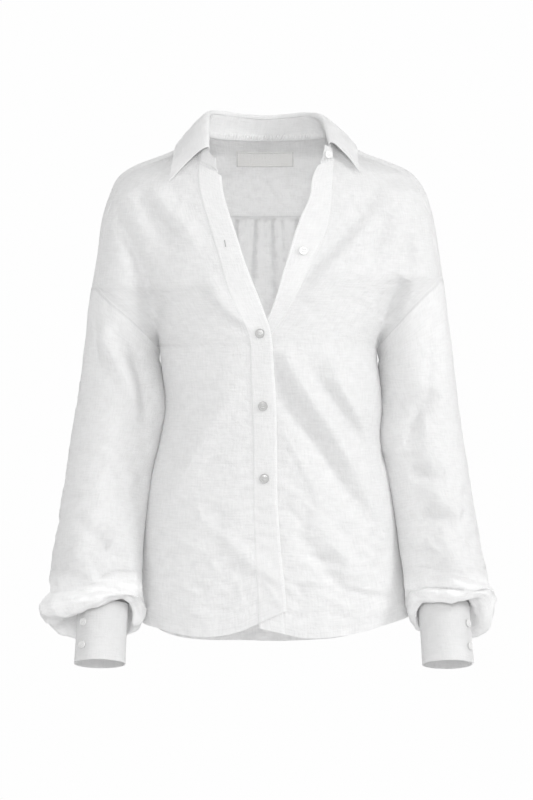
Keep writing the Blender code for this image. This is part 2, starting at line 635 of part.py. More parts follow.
def placket_grid(side, front):
    """Rows of one placket, sharing its seam points with the front panel."""
    lift = lap(side)
    return np.array([placket_line(side, row[0], lift) for row in front[CORNER_ROW:]])


def placket_line(side, shared, lift):
    """One row across a placket, slanting to follow its top and its hem."""
    start, _y, z = shared / MM
    (x0, z0), (x1, z1) = PLACKETS[side]["top"]
    slant = step(z, *PLACKET_SLANT)
    end = seam_x(side, "edge", z + slant * (z1 - z0))
    x = start + (end - start) * np.asarray(PLACKET_SPLITS)
    heights = z + slant * (z1 - z0) / (x1 - x0) * (x - start)
    low = np.clip((z - HEM_BLEND) / (hem_height(start, side) - HEM_BLEND), 0, 1)
    heights = heights + low * (hem_height(x, side) - hem_height(start, side))
    line = point(x, heights, "front", lift(x, heights))
    line[0] = shared
    return line


def back_shares():
    """Shares of each half row of the back, from the middle to the side."""
    top = [row[2] for row in YOKE_MIDDLE[::-1]] + [100.0, 118.0, 135.0]
    return np.asarray(top) / top[-1]


def back_rows():
    """Right end, left end and height of each row of the back."""
    rows = []
    for row in reversed(YOKE_SIDE[:YOKE_TOP + 1]):
        named = yoke_row(row)
        rows.append((-named["back_right"], named["back_left"], named["back_z"]))
    for right, left in zip(armhole_back("right"), armhole_back("left")):
        rows.append((-right[0], left[0], right[1]))
    for z in np.linspace(UNDERARM_Z, HEM_LEVEL, SIDE_ROWS + 1):
        rows.append((-float(body_half(z, "right")), float(body_half(z, "left")), z))
    return rows


def no_lift(x, z):
    return np.zeros(np.shape(x))


def back_grid():
    """Rows of points of the back panel, from the right side to the left."""
    shares = back_shares()
    grid = []
    for right, left, z in back_rows():
        near = run_points(0.0, right, z, shares, "back", no_lift)[::-1]
        far = run_points(0.0, left, z, shares, "back", no_lift)
        grid.append(np.concatenate([near[:-1], far]))
    return np.array([back_hem(row) for row in grid])


def back_hem(row):
    """Lower a row of the back towards its curved hem."""
    x = row[:, 0] / MM
    z = row[:, 2] / MM
    if z[0] > HEM_BLEND:
        return row
    new_z = z + hem_shift(x, z, "back")
    scale = by_side(x, body_half(new_z, "right") / body_half(z, "right"),
                    body_half(new_z, "left") / body_half(z, "left"))
    return point(x * scale, new_z, "back")


def side_steps(index):
    """Places across the yoke of one side column, counted from the armhole."""
    away = len(YOKE_SIDE) - index
    near = max(0.0, 1 - (away - 1) / YOKE_NECK_COLUMNS)
    return np.asarray(YOKE_STEPS) * (1 - near) + np.asarray(YOKE_NECK_STEPS) * near


def side_column(index, side):
    """One side column of the yoke, from the front seam over the ridge to the back."""
    s = sign_of(side)
    named = yoke_row(YOKE_SIDE[index])
    ridge = (float(outer_edge(named["ridge_" + side], side)), named["ridge_" + side])
    front = front_seam_point(ridge[1], side)
    if index == 0:
        front = (ARMHOLE[side][0][1], ARMHOLE[side][0][0])
    back = (named["back_" + side], named["back_z"])
    line = []
    for place in side_steps(index):
        face, end = ("front", front) if place < 0 else ("back", back)
        q = place * place
        made = point(s * (ridge[0] + (end[0] - ridge[0]) * q),
                     ridge[1] + (end[1] - ridge[1]) * q, face)
        if place == 0.0:
            made[1] = 0.0
        line.append(made)
    return line


def middle_column(row, s):
    """One column of the yoke behind the neck, from the neck to the back seam."""
    neck_x, neck_z, back_x = row
    line = []
    for q in YOKE_MIDDLE_STEPS:
        x = s * (neck_x + (back_x - neck_x) * q)
        line.append(point(x, neck_z + (YOKE_BACK_Z - neck_z) * q, "back"))
    return line


def yoke_grid(back):
    """Columns of the yoke from the right armhole to the left one, as rows."""
    columns = range(len(YOKE_SIDE))
    right = [side_column(i, "right") for i in columns]
    right += [middle_column(row, -1.0) for row in YOKE_MIDDLE]
    left = [side_column(i, "left") for i in columns]
    left += [middle_column(row, 1.0) for row in YOKE_MIDDLE[:-1]]
    grid = np.array(right + left[::-1]).transpose(1, 0, 2)
    share_back_seam(grid, back)
    return grid


def share_back_seam(grid, back):
    """Give the yoke's last row the same points as the top of the back."""
    top = back[0]
    count = grid.shape[1]
    steps = YOKE_TOP
    grid[-1, steps:count - steps] = top
    for i in range(steps):
        row = back[steps - i]
        grid[-1, i] = row[0]
        grid[-1, count - 1 - i] = row[-1]


def arm_ring(side, z, angle):
    """Point of the upper sleeve at a height and an angle round the arm."""
    outer = by_height(ARMS[side], ARM_COLUMNS, "outer", z)
    inner = by_height(ARMS[side], ARM_COLUMNS, "inner", z)
    face = np.where(np.sin(angle) < 0, by_height(ARMS[side], ARM_COLUMNS, "front", z),
                    by_height(ARMS[side], ARM_COLUMNS, "back", z))
    x = (outer + inner) / 2 + (outer - inner) / 2 * np.cos(angle)
    return np.stack([sign_of(side) * x, face * np.sin(angle), z], axis=-1)


def sleeve_ring(row, side, angle):
    """Ring of the lower sleeve from a row of its table."""
    r = dict(zip(SLEEVE_COLUMNS, row))
    tilt = math.radians(r["tilt"])
    deep = np.where(np.sin(angle) < 0, r["front"], r["back"]) * np.sin(angle)
    x = (r["outer"] + r["inner"]) / 2 + (r["outer"] - r["inner"]) / 2 * np.cos(angle)
    y = r["middle"] + deep * math.cos(tilt)
    z = r["z"] - deep * math.sin(tilt)
    return np.stack([sign_of(side) * x, y, z], axis=-1)


def seam_angle(ring, side):
    """Angle round the arm of each point of the armhole seam, from the underarm."""
    x = np.abs(ring[:, 0])
    z = ring[:, 2]
    outer = by_height(ARMS[side], ARM_COLUMNS, "outer", z)
    inner = by_height(ARMS[side], ARM_COLUMNS, "inner", z)
    across = (x - (outer + inner) / 2) / ((outer - inner) / 2)
    deep = np.where(ring[:, 1] < 0, by_height(ARMS[side], ARM_COLUMNS, "front", z),
                    by_height(ARMS[side], ARM_COLUMNS, "back", z))
    angle = np.arctan2(ring[:, 1] / deep, across)
    angle[0] = math.pi
    return np.unwrap(angle)


def sleeve_folds(ring, strength):
    """Push the front of a sleeve ring out or in where a fold runs."""
    relief = fold_height(ring[:, 0], ring[:, 2], SLEEVE_FOLDS) * strength
    middle = ring.mean(axis=0)
    facing = step(middle[1] - ring[:, 1], *SLEEVE_FACING)
    moved = ring.copy()
    moved[:, 1] -= relief * facing
    return moved


def sleeve_grid(side, seam):
    """Rings of a sleeve from the armhole seam to the top of the cuff."""
    ring = seam / MM
    swept = seam_angle(ring, side)
    even = turn_even(swept)
    rows = [ring]
    miss = ring - arm_ring(side, ring[:, 2], swept)
    for share in SLEEVE_TOP_SHARES:
        z = ring[:, 2] + (SLEEVE_TOP_END - ring[:, 2]) * share
        turn = swept + (even - swept) * share
        fit = arm_ring(side, z, turn) + miss * (1 - share) ** 2
        rows.append(sleeve_folds(fit, 1.0))
    for row in SLEEVES[side]:
        strength = float(step(row[0], *SLEEVE_FOLD_END))
        rows.append(sleeve_folds(sleeve_ring(row, side, even), strength))
    rows.append(cuff_ring(side, even))
    return np.array(rows) * MM


def cuff_ring(side, turn):
    """Last ring of a sleeve, close round the top of its cuff."""
    c = CUFFS[side]
    angle = np.arctan2(sign_of(side) * np.cos(turn), -np.sin(turn))
    sweep = 360.0 + CUFF_LAP
    back = c["turn"] * (c["lap_end"] - np.degrees(angle)) % 360.0
    spread = [cuff_spread(sweep - (back + look) % 360.0)
              for look in (-SLEEVE_END_LOOK, 0.0, SLEEVE_END_LOOK)]
    return cuff_frame(side, SLEEVE_END_DOWN, angle, np.max(spread, axis=0) + SLEEVE_END_CLEAR)


def turn_even(swept):
    """Evenly spread angles with the same start and direction."""
    return math.pi + 2 * math.pi * np.arange(len(swept)) / len(swept)


def sleeve_seam(side, front, yoke, back):
    """Armhole seam as one loop: underarm, up the front, over, down the back."""
    shoulder = len(YOKE_SIDE) + EXTRA_ROWS
    holes = len(armhole_front(side))
    front_part = front[shoulder - 1:shoulder + holes + 1, -1][::-1]
    column = yoke[1:, 0] if side == "right" else yoke[1:, -1]
    end = 0 if side == "right" else -1
    back_start = YOKE_TOP + 1
    back_part = back[back_start:back_start + len(ARMHOLE_BACK), end]
    return np.concatenate([front_part, column, back_part])


def neck_line(plackets, fronts, yoke):
    """Neck seam from the end of the right stand round the back to the left one."""
    steps = len(YOKE_SIDE)
    behind = yoke[0, steps - 1:yoke.shape[1] - steps + 1]
    right = fronts["right"][1:CORNER_ROW, 0][::-1]
    left = fronts["left"][1:CORNER_ROW, 0]
    return np.concatenate([plackets["right"][0, 2::-1], right, behind, left,
                           plackets["left"][0, :3]])


def line_shares(line):
    """Share along a line from -1 to 1."""
    run = np.concatenate([[0.0], np.cumsum(np.linalg.norm(np.diff(line, axis=0), axis=1))])
    return run / run[-1] * 2 - 1


def collar_points(share, name):
    """Roll line or outer edge of the collar at shares of the neck seam, in metres."""
    rows = np.asarray(COLLAR, float)
    if name == "edge":
        rows = rows[1:-1]
    places = rows[:, 0]
    columns = [COLLAR_COLUMNS.index(f"{name}_{axis}") for axis in "xyz"]
    return np.stack([smooth(share, places, rows[:, c]) for c in columns], axis=-1) * MM


def stand_grid(neck):
    """Rows of the stand, top to bottom, on the neck seam."""
    share = line_shares(neck)
    top = collar_points(share, "roll")
    top[:, 2] -= ROLL_DROP * MM
    middle = (top + neck) / 2 + outward(neck) * STAND_BULGE * MM
    return np.array([top, middle, neck])


def outward(line):
    """Level direction away from the inside of the neck for each point of a line."""
    along = np.gradient(line, axis=0)
    side = np.stack([-along[:, 1], along[:, 0], np.zeros(len(line))], axis=-1)
    length = np.linalg.norm(side[:, :2], axis=1)[:, None]
    return side / np.maximum(length, 1e-9)


def fall_grid():
    """Rows of the fall from the top of the stand over the roll to its outer edge."""
    share = np.linspace(-FALL_SHARE, FALL_SHARE, FALL_COLUMNS)
    roll = collar_points(share, "roll")
    edge = collar_points(share, "edge")
    away = outward(roll)
    upward = np.array([0.0, 0.0, MM])
    start = roll - upward * (ROLL_DROP - FALL_INSET) - away * BAND_WALL
    up = start + upward * ROLL_RISE
    over = roll + (edge - roll) * ROLL_SHARE + away * ROLL_OUT * MM + upward * ROLL_OVER
    rows = []
    for t in FALL_STEPS:
        a = (1 - t) ** 3 * start + 3 * t * (1 - t) ** 2 * up
        rows.append(a + 3 * t * t * (1 - t) * over + t**3 * edge)
    return np.array(rows)


def grid_normals(grid, flip, closed):
    """Sum of the face normals round each point of a grid."""
    down = grid[1:] - grid[:-1]
    if closed:
        grid = np.concatenate([grid, grid[:, :1]], axis=1)
        down = grid[1:] - grid[:-1]
    across = grid[:, 1:] - grid[:, :-1]
    faces = np.cross((across[1:] + across[:-1]) / 2, (down[:, 1:] + down[:, :-1]) / 2)
    total = np.zeros_like(grid)
    for i, j in ((0, 0), (0, 1), (1, 0), (1, 1)):
        rows, columns = faces.shape[:2]
        total[i:i + rows, j:j + columns] += faces
    if closed:
        total[:, 0] += total[:, -1]
        total = total[:, :-1]
    return -total if flip else total


def share_normals(grids):
    """Unit normals of all grids, summed where pieces have the same seam point."""
    sums = {}
    parts = {}
    for name, (grid, flip, closed) in grids.items():
        normals = grid_normals(grid, flip, closed)
        parts[name] = normals
        for place, normal in zip(np.round(grid.reshape(-1, 3) * 1e5), normals.reshape(-1, 3)):
            key = tuple(place.astype(int))
            sums[key] = sums.get(key, 0) + normal
    units = {}
    for name, (grid, _flip, _closed) in grids.items():
        keys = np.round(grid.reshape(-1, 3) * 1e5).astype(int)
        whole = np.array([sums[tuple(key)] for key in keys]).reshape(grid.shape)
        units[name] = whole / np.maximum(np.linalg.norm(whole, axis=-1, keepdims=True), 1e-15)
    return units


def pull_in(grid, sides):
    """Move the sewn edges of a grid inwards by half the seam gap."""
    moved = grid.copy()
    for side in sides:
        edge, inner = {"top": (np.s_[0], np.s_[1]), "bottom": (np.s_[-1], np.s_[-2]),
                       "start": (np.s_[:, 0], np.s_[:, 1]),
                       "end": (np.s_[:, -1], np.s_[:, -2])}[side]
        way = grid[inner] - grid[edge]
        along = np.gradient(grid[edge], axis=0)
        along /= np.linalg.norm(along, axis=-1, keepdims=True)
        way = way - along * (way * along).sum(axis=-1, keepdims=True)
        moved[edge] += way / np.linalg.norm(way, axis=-1, keepdims=True) * SEAM_GAP / 2
    return moved


def quads(rows, columns, closed):
    """Index quads of a grid, each split the same way on both of its faces."""
    span = columns if closed else columns - 1
    faces = []
    for i in range(rows - 1):
        for j in range(span):
            k = (j + 1) % columns
            faces.append((i * columns + j, i * columns + k,
                          (i + 1) * columns + k, (i + 1) * columns + j))
    return faces


def split(quad, places):
    """Two triangles of a quad along its shorter diagonal."""
    a, b, c, d = quad
    if np.linalg.norm(places[a] - places[c]) <= np.linalg.norm(places[b] - places[d]):
        return [(a, b, c), (a, c, d)]
    return [(a, b, d), (b, c, d)]


def rim(rows, columns, closed):
    """Edges round a grid, as pairs in the order of its quads."""
    edges = []
    span = columns if closed else columns - 1
    for j in range(span):
        k = (j + 1) % columns
        edges.append((j, k))
        edges.append(((rows - 1) * columns + k, (rows - 1) * columns + j))
    if not closed:
        for i in range(rows - 1):
            edges.append(((i + 1) * columns, i * columns))
            edges.append(((i + 1) * columns - 1, (i + 2) * columns - 1))
    return edges


def sheet_mesh(outer, inner, closed):
    """Closed mesh between an outer and an inner grid."""
    rows, columns = outer.shape[:2]
    places = np.concatenate([outer.reshape(-1, 3), inner.reshape(-1, 3)])
    count = rows * columns
    faces = []
    for quad in quads(rows, columns, closed):
        for a, b, c in split(quad, places):
            faces.append((a, b, c))
            faces.append((c + count, b + count, a + count))
    for a, b in rim(rows, columns, closed):
        faces += [(b, a, a + count), (b, a + count, b + count)]
    return places, faces


def material(name, finish):
    """Plain material with a base colour and roughness."""
    made = bpy.data.materials.new(name)
    made.use_nodes = True
    shader = made.node_tree.nodes["Principled BSDF"]
    shader.inputs["Base Color"].default_value = (*finish[0], 1.0)
    shader.inputs["Roughness"].default_value = finish[1]
    return made


def add_object(name, places, faces, finish):
    """Mesh object with faces turned outwards."""
    mesh = bpy.data.meshes.new(name)
    mesh.from_pydata([tuple(p) for p in places], [], faces)
    bm = bmesh.new()
    bm.from_mesh(mesh)
    bmesh.ops.recalc_face_normals(bm, faces=bm.faces[:])
    if bm.calc_volume(signed=True) < 0:
        bmesh.ops.reverse_faces(bm, faces=bm.faces[:])
    bm.to_mesh(mesh)
    bm.free()
    made = bpy.data.objects.new(name, mesh)
    made.data.materials.append(material(name + "_material", finish))
    bpy.context.scene.collection.objects.link(made)
    return made


def add_sheet(name, grid, normals, wall, closed=False, finish=LINEN):
    places, faces = sheet_mesh(grid, grid - normals * wall, closed)
    return add_object(name, places, faces, finish)


def cuff_frame(side, down, angle, spread):
    """Point of a cuff: share down its height, angle from the front, extra radius."""
    c = CUFFS[side]
    s = sign_of(side)
    top = np.array(c["top"]) * (s, 1, 1)
    bottom = np.array(c["bottom"]) * (s, 1, 1)
    centre = top + (bottom - top) * down
    tilt = math.radians(CUFF_TILT)
    deep = -(c["deep"] + spread) * np.cos(angle)
    x = centre[0] + (c["wide"] + spread) * np.sin(angle)
    return np.stack([x, centre[1] + deep * math.cos(tilt), centre[2] - deep * math.sin(tilt)],
                    axis=-1)


def cuff_spread(turn):
    """Extra radius of the band, which rises before it laps over its first end."""
    sweep = 360.0 + CUFF_LAP
    return CUFF_RISE * step(turn, sweep - CUFF_LAP - 75.0, sweep - CUFF_LAP - 5.0)


def cuff_grid(side):
    """Cuff as a band whose lapped end lies over its first end."""
    c = CUFFS[side]
    sweep = 360.0 + CUFF_LAP
    turn = np.linspace(0.0, sweep, CUFF_STEPS + 1)
    spread = cuff_spread(turn)
    angle = np.radians(c["lap_end"] + c["turn"] * (turn - sweep))
    return np.array([cuff_frame(side, down, angle, spread) for down in (0.0, 0.5, 1.0)]) * MM


def dish(radius, segments, turn):
    return [(radius * math.cos(2 * math.pi * i / segments + turn),
             radius * math.sin(2 * math.pi * i / segments + turn)) for i in range(segments)]


def holed_disc(radius, segments):
    """Flat triangles of a round plate with four thread holes, and the loops of its edges."""
    loops = [dish(radius, segments, 0.0)]
    for i in range(4):
        turn = math.pi / 4 + i * math.pi / 2
        away = BUTTON_HOLE_PLACE * radius
        centre = (away * math.cos(turn), away * math.sin(turn))
        hole = dish(BUTTON_HOLE_RADIUS * radius, 4, turn)
        loops.append([(x + centre[0], y + centre[1]) for x, y in hole])
    places = [p for loop in loops for p in loop]
    edges = []
    start = 0
    for loop in loops:
        n = len(loop)
        edges += [(start + i, start + (i + 1) % n) for i in range(n)]
        start += n
    flat = [Vector(p) for p in places]
    found = delaunay_2d_cdt(flat, edges, [], 0, 1e-9)
    faces = [f for f in found[2] if not in_hole(f, found[0], loops[1:])]
    return [tuple(v) for v in found[0]], faces, loops


def in_hole(face, places, holes):
    """Whether the middle of a triangle is inside one of the holes."""
    middle = sum((places[i] for i in face), Vector((0, 0))) / 3
    for hole in holes:
        centre = sum((Vector(p) for p in hole), Vector((0, 0))) / len(hole)
        if (middle - centre).length < (Vector(hole[0]) - centre).length / math.sqrt(2):
            return True
    return False


def button_mesh(radius, thick):
    """Round button with a raised rim, a dished middle and four thread holes."""
    segments = BUTTON_SEGMENTS
    flat, plate, loops = holed_disc(radius * BUTTON_DISHED, segments)
    count = len(flat)
    high = thick * BUTTON_DISH_HIGH
    places = [(x, y, high) for x, y in flat] + [(x, y, 0.0) for x, y in flat]
    faces = [tuple(f) for f in plate] + [tuple(i + count for i in reversed(f)) for f in plate]
    start = segments
    for hole in loops[1:]:
        n = len(hole)
        for i in range(n):
            a, b = start + i, start + (i + 1) % n
            faces.append((a, b, b + count, a + count))
        start += n
    last = list(range(segments))
    for out, height in BUTTON_RIM:
        ring = list(range(len(places), len(places) + segments))
        places += [(x, y, thick * height) for x, y in dish(radius * out, segments, 0.0)]
        faces += ring_faces(last, ring)
        last = ring
    faces += ring_faces(last, [i + count for i in range(segments)])
    return places, faces


def ring_faces(a, b):
    n = len(a)
    return [(a[i], b[i], b[(i + 1) % n], a[(i + 1) % n]) for i in range(n)]


def add_button(name, base, axis, radius):
    """Button with its back on base, facing along axis."""
    places, faces = button_mesh(radius, BUTTON_THICK)
    turn = Vector((0, 0, 1)).rotation_difference(Vector(axis))
    moved = [turn @ Vector(p) + Vector(base) for p in places]
    return add_object(name, moved, faces, BUTTON_FINISH)


def seat(grid, centre, axis, radius):
    """Base of a button, clear of every part of the panel under it."""
    fine = fine_points(grid)
    off = fine - centre
    along = off @ axis
    across = np.linalg.norm(off - along[:, None] * axis, axis=1)
    near = along[(across < radius * 1.02) & (np.abs(along) < BUTTON_REACH)]
    top = near.max() if len(near) else 0.0
    return centre + axis * (top + LIE_GAP)


def fine_points(grid):
    """Points spread over the flat triangles of a grid."""
    t = np.linspace(0, 1, 13)
    out = []
    for i in range(grid.shape[0] - 1):
        for j in range(grid.shape[1] - 1):
            cell = grid[i:i + 2, j:j + 2]
            u, v = np.meshgrid(t, t)
            u, v = u[..., None], v[..., None]
            blend = (cell[0, 0] * (1 - u) + cell[0, 1] * u) * (1 - v)
            out.append((blend + (cell[1, 0] * (1 - u) + cell[1, 1] * u) * v).reshape(-1, 3))
    return np.concatenate(out)


def surface_axis(grid, centre, sideways):
    """Outward direction of the surface near a place, from the nearest grid cell."""
    fine = fine_points(grid)
    near = fine[np.argsort(np.linalg.norm(fine - centre, axis=1))[:200]]
    middle = near.mean(axis=0)
    axis = np.linalg.svd(near - middle)[2][2]
    return axis if axis @ sideways > 0 else -axis


def add_front_buttons(plackets):
    for name, x, z, side in FRONT_BUTTONS:
        lift = lap(side)
        centre = point(x, z, "front", lift(np.array(x), np.array(z)))
        axis = surface_axis(plackets[side], centre, np.array([0, -1.0, 0]))
        base = seat(plackets[side], centre, axis, BUTTON_RADIUS)
        add_button(name, base, axis, BUTTON_RADIUS)


def add_collar_button(stand):
    """Button on the outer face of the left end of the stand."""
    share = line_shares(stand[-1])
    down = COLLAR_BUTTON[1]
    line = stand[0] * (1 - down) + stand[-1] * down
    centre = np.array([np.interp(COLLAR_BUTTON[0], share, line[:, i]) for i in range(3)])
    axis = surface_axis(stand[:, -4:], centre, np.array([0.3, -1.0, 0.3]))
    base = seat(stand, centre, axis, CUFF_BUTTON_RADIUS)
    add_button("button_collar", base, axis, CUFF_BUTTON_RADIUS)


def add_cuff_buttons(side, grid):
    """Two buttons on the lapped end of a cuff."""
    c = CUFFS[side]
    angle = math.radians(c["lap_end"] - c["turn"] * CUFF_LAP * 0.55)
    for i, down in enumerate(c["buttons"], start=1):
        centre = cuff_frame(side, down, np.array(angle), CUFF_RISE) * MM
        hub = cuff_frame(side, down, np.array(angle), -CUFFS[side]["wide"]) * MM
        axis = (centre - hub) / np.linalg.norm(centre - hub)
        base = seat(grid, centre, axis, CUFF_BUTTON_RADIUS)
        add_button(f"button_cuff_{side}_{i}", base, axis, CUFF_BUTTON_RADIUS)


def add_label(yoke, normals):
    """Blank label lying on the inside of the yoke."""
    middle = yoke.shape[1] // 2
    cut = np.s_[LABEL_ROWS[0]:LABEL_ROWS[1] + 1,
                middle - LABEL_COLUMNS:middle + LABEL_COLUMNS + 1]
    outer = yoke[cut] - normals[cut] * (WALL + LIE_GAP)
    add_sheet("label", outer, normals[cut], LABEL_WALL, finish=LABEL_CLOTH)


def align_shoulders(normals):
    """Turn the front normals along the shoulder seam like those of the straight yoke edge."""
    steps = len(YOKE_SIDE)
    first = steps - EXTRA_ROWS
    for side, corner in (("right", steps - 1), ("left", -steps)):
        front = normals["front_" + side]
        front[0] = front[1] * CORNER_SHARE + normals["yoke"][0, corner] * (1 - CORNER_SHARE)
        for i in range(first, first + 2 * EXTRA_ROWS, 2):
            front[i, -1] = (front[i - 1, -1] + front[i + 1, -1]) / 2


def build():
    """Make every piece of the shirt."""
    for old in list(bpy.data.objects):
        bpy.data.objects.remove(old, do_unlink=True)
    back = back_grid()
    yoke = yoke_grid(back)
    fronts = {side: front_grid(side) for side in ("right", "left")}
    plackets = {side: placket_grid(side, fronts[side]) for side in fronts}
    sleeves = {side: sleeve_grid(side, sleeve_seam(side, fronts[side], yoke, back))
               for side in fronts}
    neck = neck_line(plackets, fronts, yoke)
    stand = stand_grid(neck)
    grids = {
        "back": (back, False, False),
        "yoke": (yoke, False, False),
        "front_right": (fronts["right"], False, False),
        "front_left": (fronts["left"], True, False),
        "placket_right": (plackets["right"], True, False),
        "placket_left": (plackets["left"], False, False),
        "sleeve_right": (sleeves["right"], False, True),
        "sleeve_left": (sleeves["left"], True, True),
        "collar_stand": (stand, False, False),
    }
    sewn = {
        "back": ("top", "start", "end"), "yoke": ("top", "bottom", "start", "end"),
        "front_right": ("start", "end"), "front_left": ("start", "end"),
        "placket_right": ("start",), "placket_left": ("start",),
        "sleeve_right": ("top",), "sleeve_left": ("top",), "collar_stand": ("bottom",),
    }
    walls = {"placket_right": BAND_WALL, "placket_left": BAND_WALL, "collar_stand": BAND_WALL}
    normals = share_normals(grids)
    align_shoulders(normals)
    for name, (grid, _flip, closed) in grids.items():
        add_sheet(name, pull_in(grid, sewn[name]), normals[name], walls.get(name, WALL), closed)
    fall = fall_grid()
    fall_normals = share_normals({"fall": (fall, True, False)})["fall"]
    add_sheet("collar_fall", fall, fall_normals, BAND_WALL)
    for side in ("right", "left"):
        cuff = cuff_grid(side)
        flip = CUFFS[side]["turn"] > 0
        cuff_normals = share_normals({"cuff": (cuff, flip, False)})["cuff"]
        add_sheet("cuff_" + side, cuff, cuff_normals, BAND_WALL)
        add_cuff_buttons(side, cuff)
    add_label(yoke, normals["yoke"])
    add_front_buttons(plackets)
    add_collar_button(stand)


build()
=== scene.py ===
"""White linen button-up shirt in its worn form, dressed on its solids.

Tables and sizes of the cloth and buttons are millimetres; points become metres where they
are made.  Sizes of the finishes and the studio are metres.  +X is the wearer's left, -Y the
front and +Z up.
"""

from __future__ import annotations

import logging
import math
from dataclasses import dataclass, field
from enum import Enum
from typing import Iterable, Iterator, Sequence

import bpy
import numpy as np
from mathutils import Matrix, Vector
from mathutils.geometry import delaunay_2d_cdt


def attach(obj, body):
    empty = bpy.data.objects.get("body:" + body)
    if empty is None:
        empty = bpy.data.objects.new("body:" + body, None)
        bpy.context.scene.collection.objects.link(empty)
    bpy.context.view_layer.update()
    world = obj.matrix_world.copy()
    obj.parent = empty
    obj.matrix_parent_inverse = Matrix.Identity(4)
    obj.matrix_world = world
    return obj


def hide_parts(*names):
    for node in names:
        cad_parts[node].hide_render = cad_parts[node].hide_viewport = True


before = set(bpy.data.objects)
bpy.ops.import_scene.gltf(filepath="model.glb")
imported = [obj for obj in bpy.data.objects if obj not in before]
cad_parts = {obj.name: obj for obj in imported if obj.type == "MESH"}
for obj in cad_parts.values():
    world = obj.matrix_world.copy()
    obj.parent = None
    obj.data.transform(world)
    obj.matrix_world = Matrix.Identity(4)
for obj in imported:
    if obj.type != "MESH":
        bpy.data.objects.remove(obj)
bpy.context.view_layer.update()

Array = np.ndarray
Pair = tuple[float, float]
Triple = tuple[float, float, float]
Row = tuple[float, ...]
Line = Sequence[Pair]
Object = bpy.types.Object
Material = bpy.types.Material
Socket = bpy.types.NodeSocket

LOG = logging.getLogger("shirt")
MM = 0.001


class Side(Enum):
    """Wearer's side of a piece."""

    RIGHT = "right"
    LEFT = "left"

    @property
    def sign(self) -> float:
        """Sign of x on this side."""
        return -1.0 if self is Side.RIGHT else 1.0


class Face(Enum):
    """Front or back half of the form."""

    FRONT = "front"
    BACK = "back"

    @property
    def sign(self) -> float:
        """Sign of y on this half."""
        return -1.0 if self is Face.FRONT else 1.0


class Edge(Enum):
    """Edge of a sheet: whether it is a row, and whether it is the last of its kind."""

    TOP = (True, False)
    BOTTOM = (True, True)
    START = (False, False)
    END = (False, True)


SIDES = (Side.RIGHT, Side.LEFT)

BODY_COLUMNS = ("z", "right", "left", "front", "back", "power")
BODY = (
    (19.3, 80, 82, 46, 50, 1.80),
    (5, 115, 117, 54, 62, 1.60),
    (-8.3, 145.6, 145.6, 60, 71, 1.60),
    (-19.3, 174.6, 176, 64, 78, 1.70),
    (-30.4, 195.3, 198, 68, 84, 1.85),
    (-41.4, 206.3, 209.1, 71.5, 88, 2.00),
    (-63.5, 214, 221.5, 77, 94, 2.15),
    (-90, 206, 221, 83, 99, 2.25),
    (-124, 194, 213, 91, 104, 2.30),
    (-151, 183, 204, 97, 106, 2.35),
    (-181, 173, 193, 103.5, 107, 2.40),
    (-203, 165, 184, 107, 107, 2.40),
    (-240, 154, 167, 111.5, 106, 2.40),
    (-275, 146.4, 153, 112.5, 103, 2.40),
    (-304, 143.5, 155.3, 111, 101, 2.40),
    (-337, 139, 159, 108, 99, 2.40),
    (-359, 138.7, 160, 106, 98, 2.40),
    (-399, 146, 157.5, 104, 99, 2.40),
    (-448, 158, 168.5, 104, 101, 2.40),
    (-494, 165, 177, 106, 104, 2.40),
    (-540, 169.6, 183.7, 108, 107, 2.40),
    (-588, 171.8, 191, 110, 109, 2.40),
    (-638, 170.4, 197.5, 112, 111, 2.40),
    (-700, 168, 200, 113, 112, 2.40),
)
ARM_COLUMNS = ("z", "outer", "inner", "front", "back")
ARMS = {
    "right": (
        (-30, 194, 125, 42, 50),
        (-63, 216, 116, 54, 60),
        (-90, 225, 118, 58, 65),
        (-124, 229.5, 122, 60, 66),
        (-151, 233.5, 127, 60, 65),
        (-189, 240, 133, 59, 62.5),
        (-240, 247, 143, 58.5, 60),
        (-275, 250.5, 148.3, 58, 58),
        (-340, 259, 140.9, 58, 57),
    ),
    "left": (
        (-30, 197, 125, 42, 50),
        (-63, 221, 118, 54, 60),
        (-90, 229.5, 122, 58, 65),
        (-124, 235.8, 128, 60, 66),
        (-151, 240, 133, 60, 65),
        (-189, 245, 140, 59, 62.5),
        (-240, 251.8, 149, 58.5, 60),
        (-275, 256.3, 154.8, 58, 58),
        (-340, 263.5, 162, 57, 57),
    ),
}
SLEEVE_COLUMNS = ("z", "outer", "inner", "middle", "front", "back", "tilt")
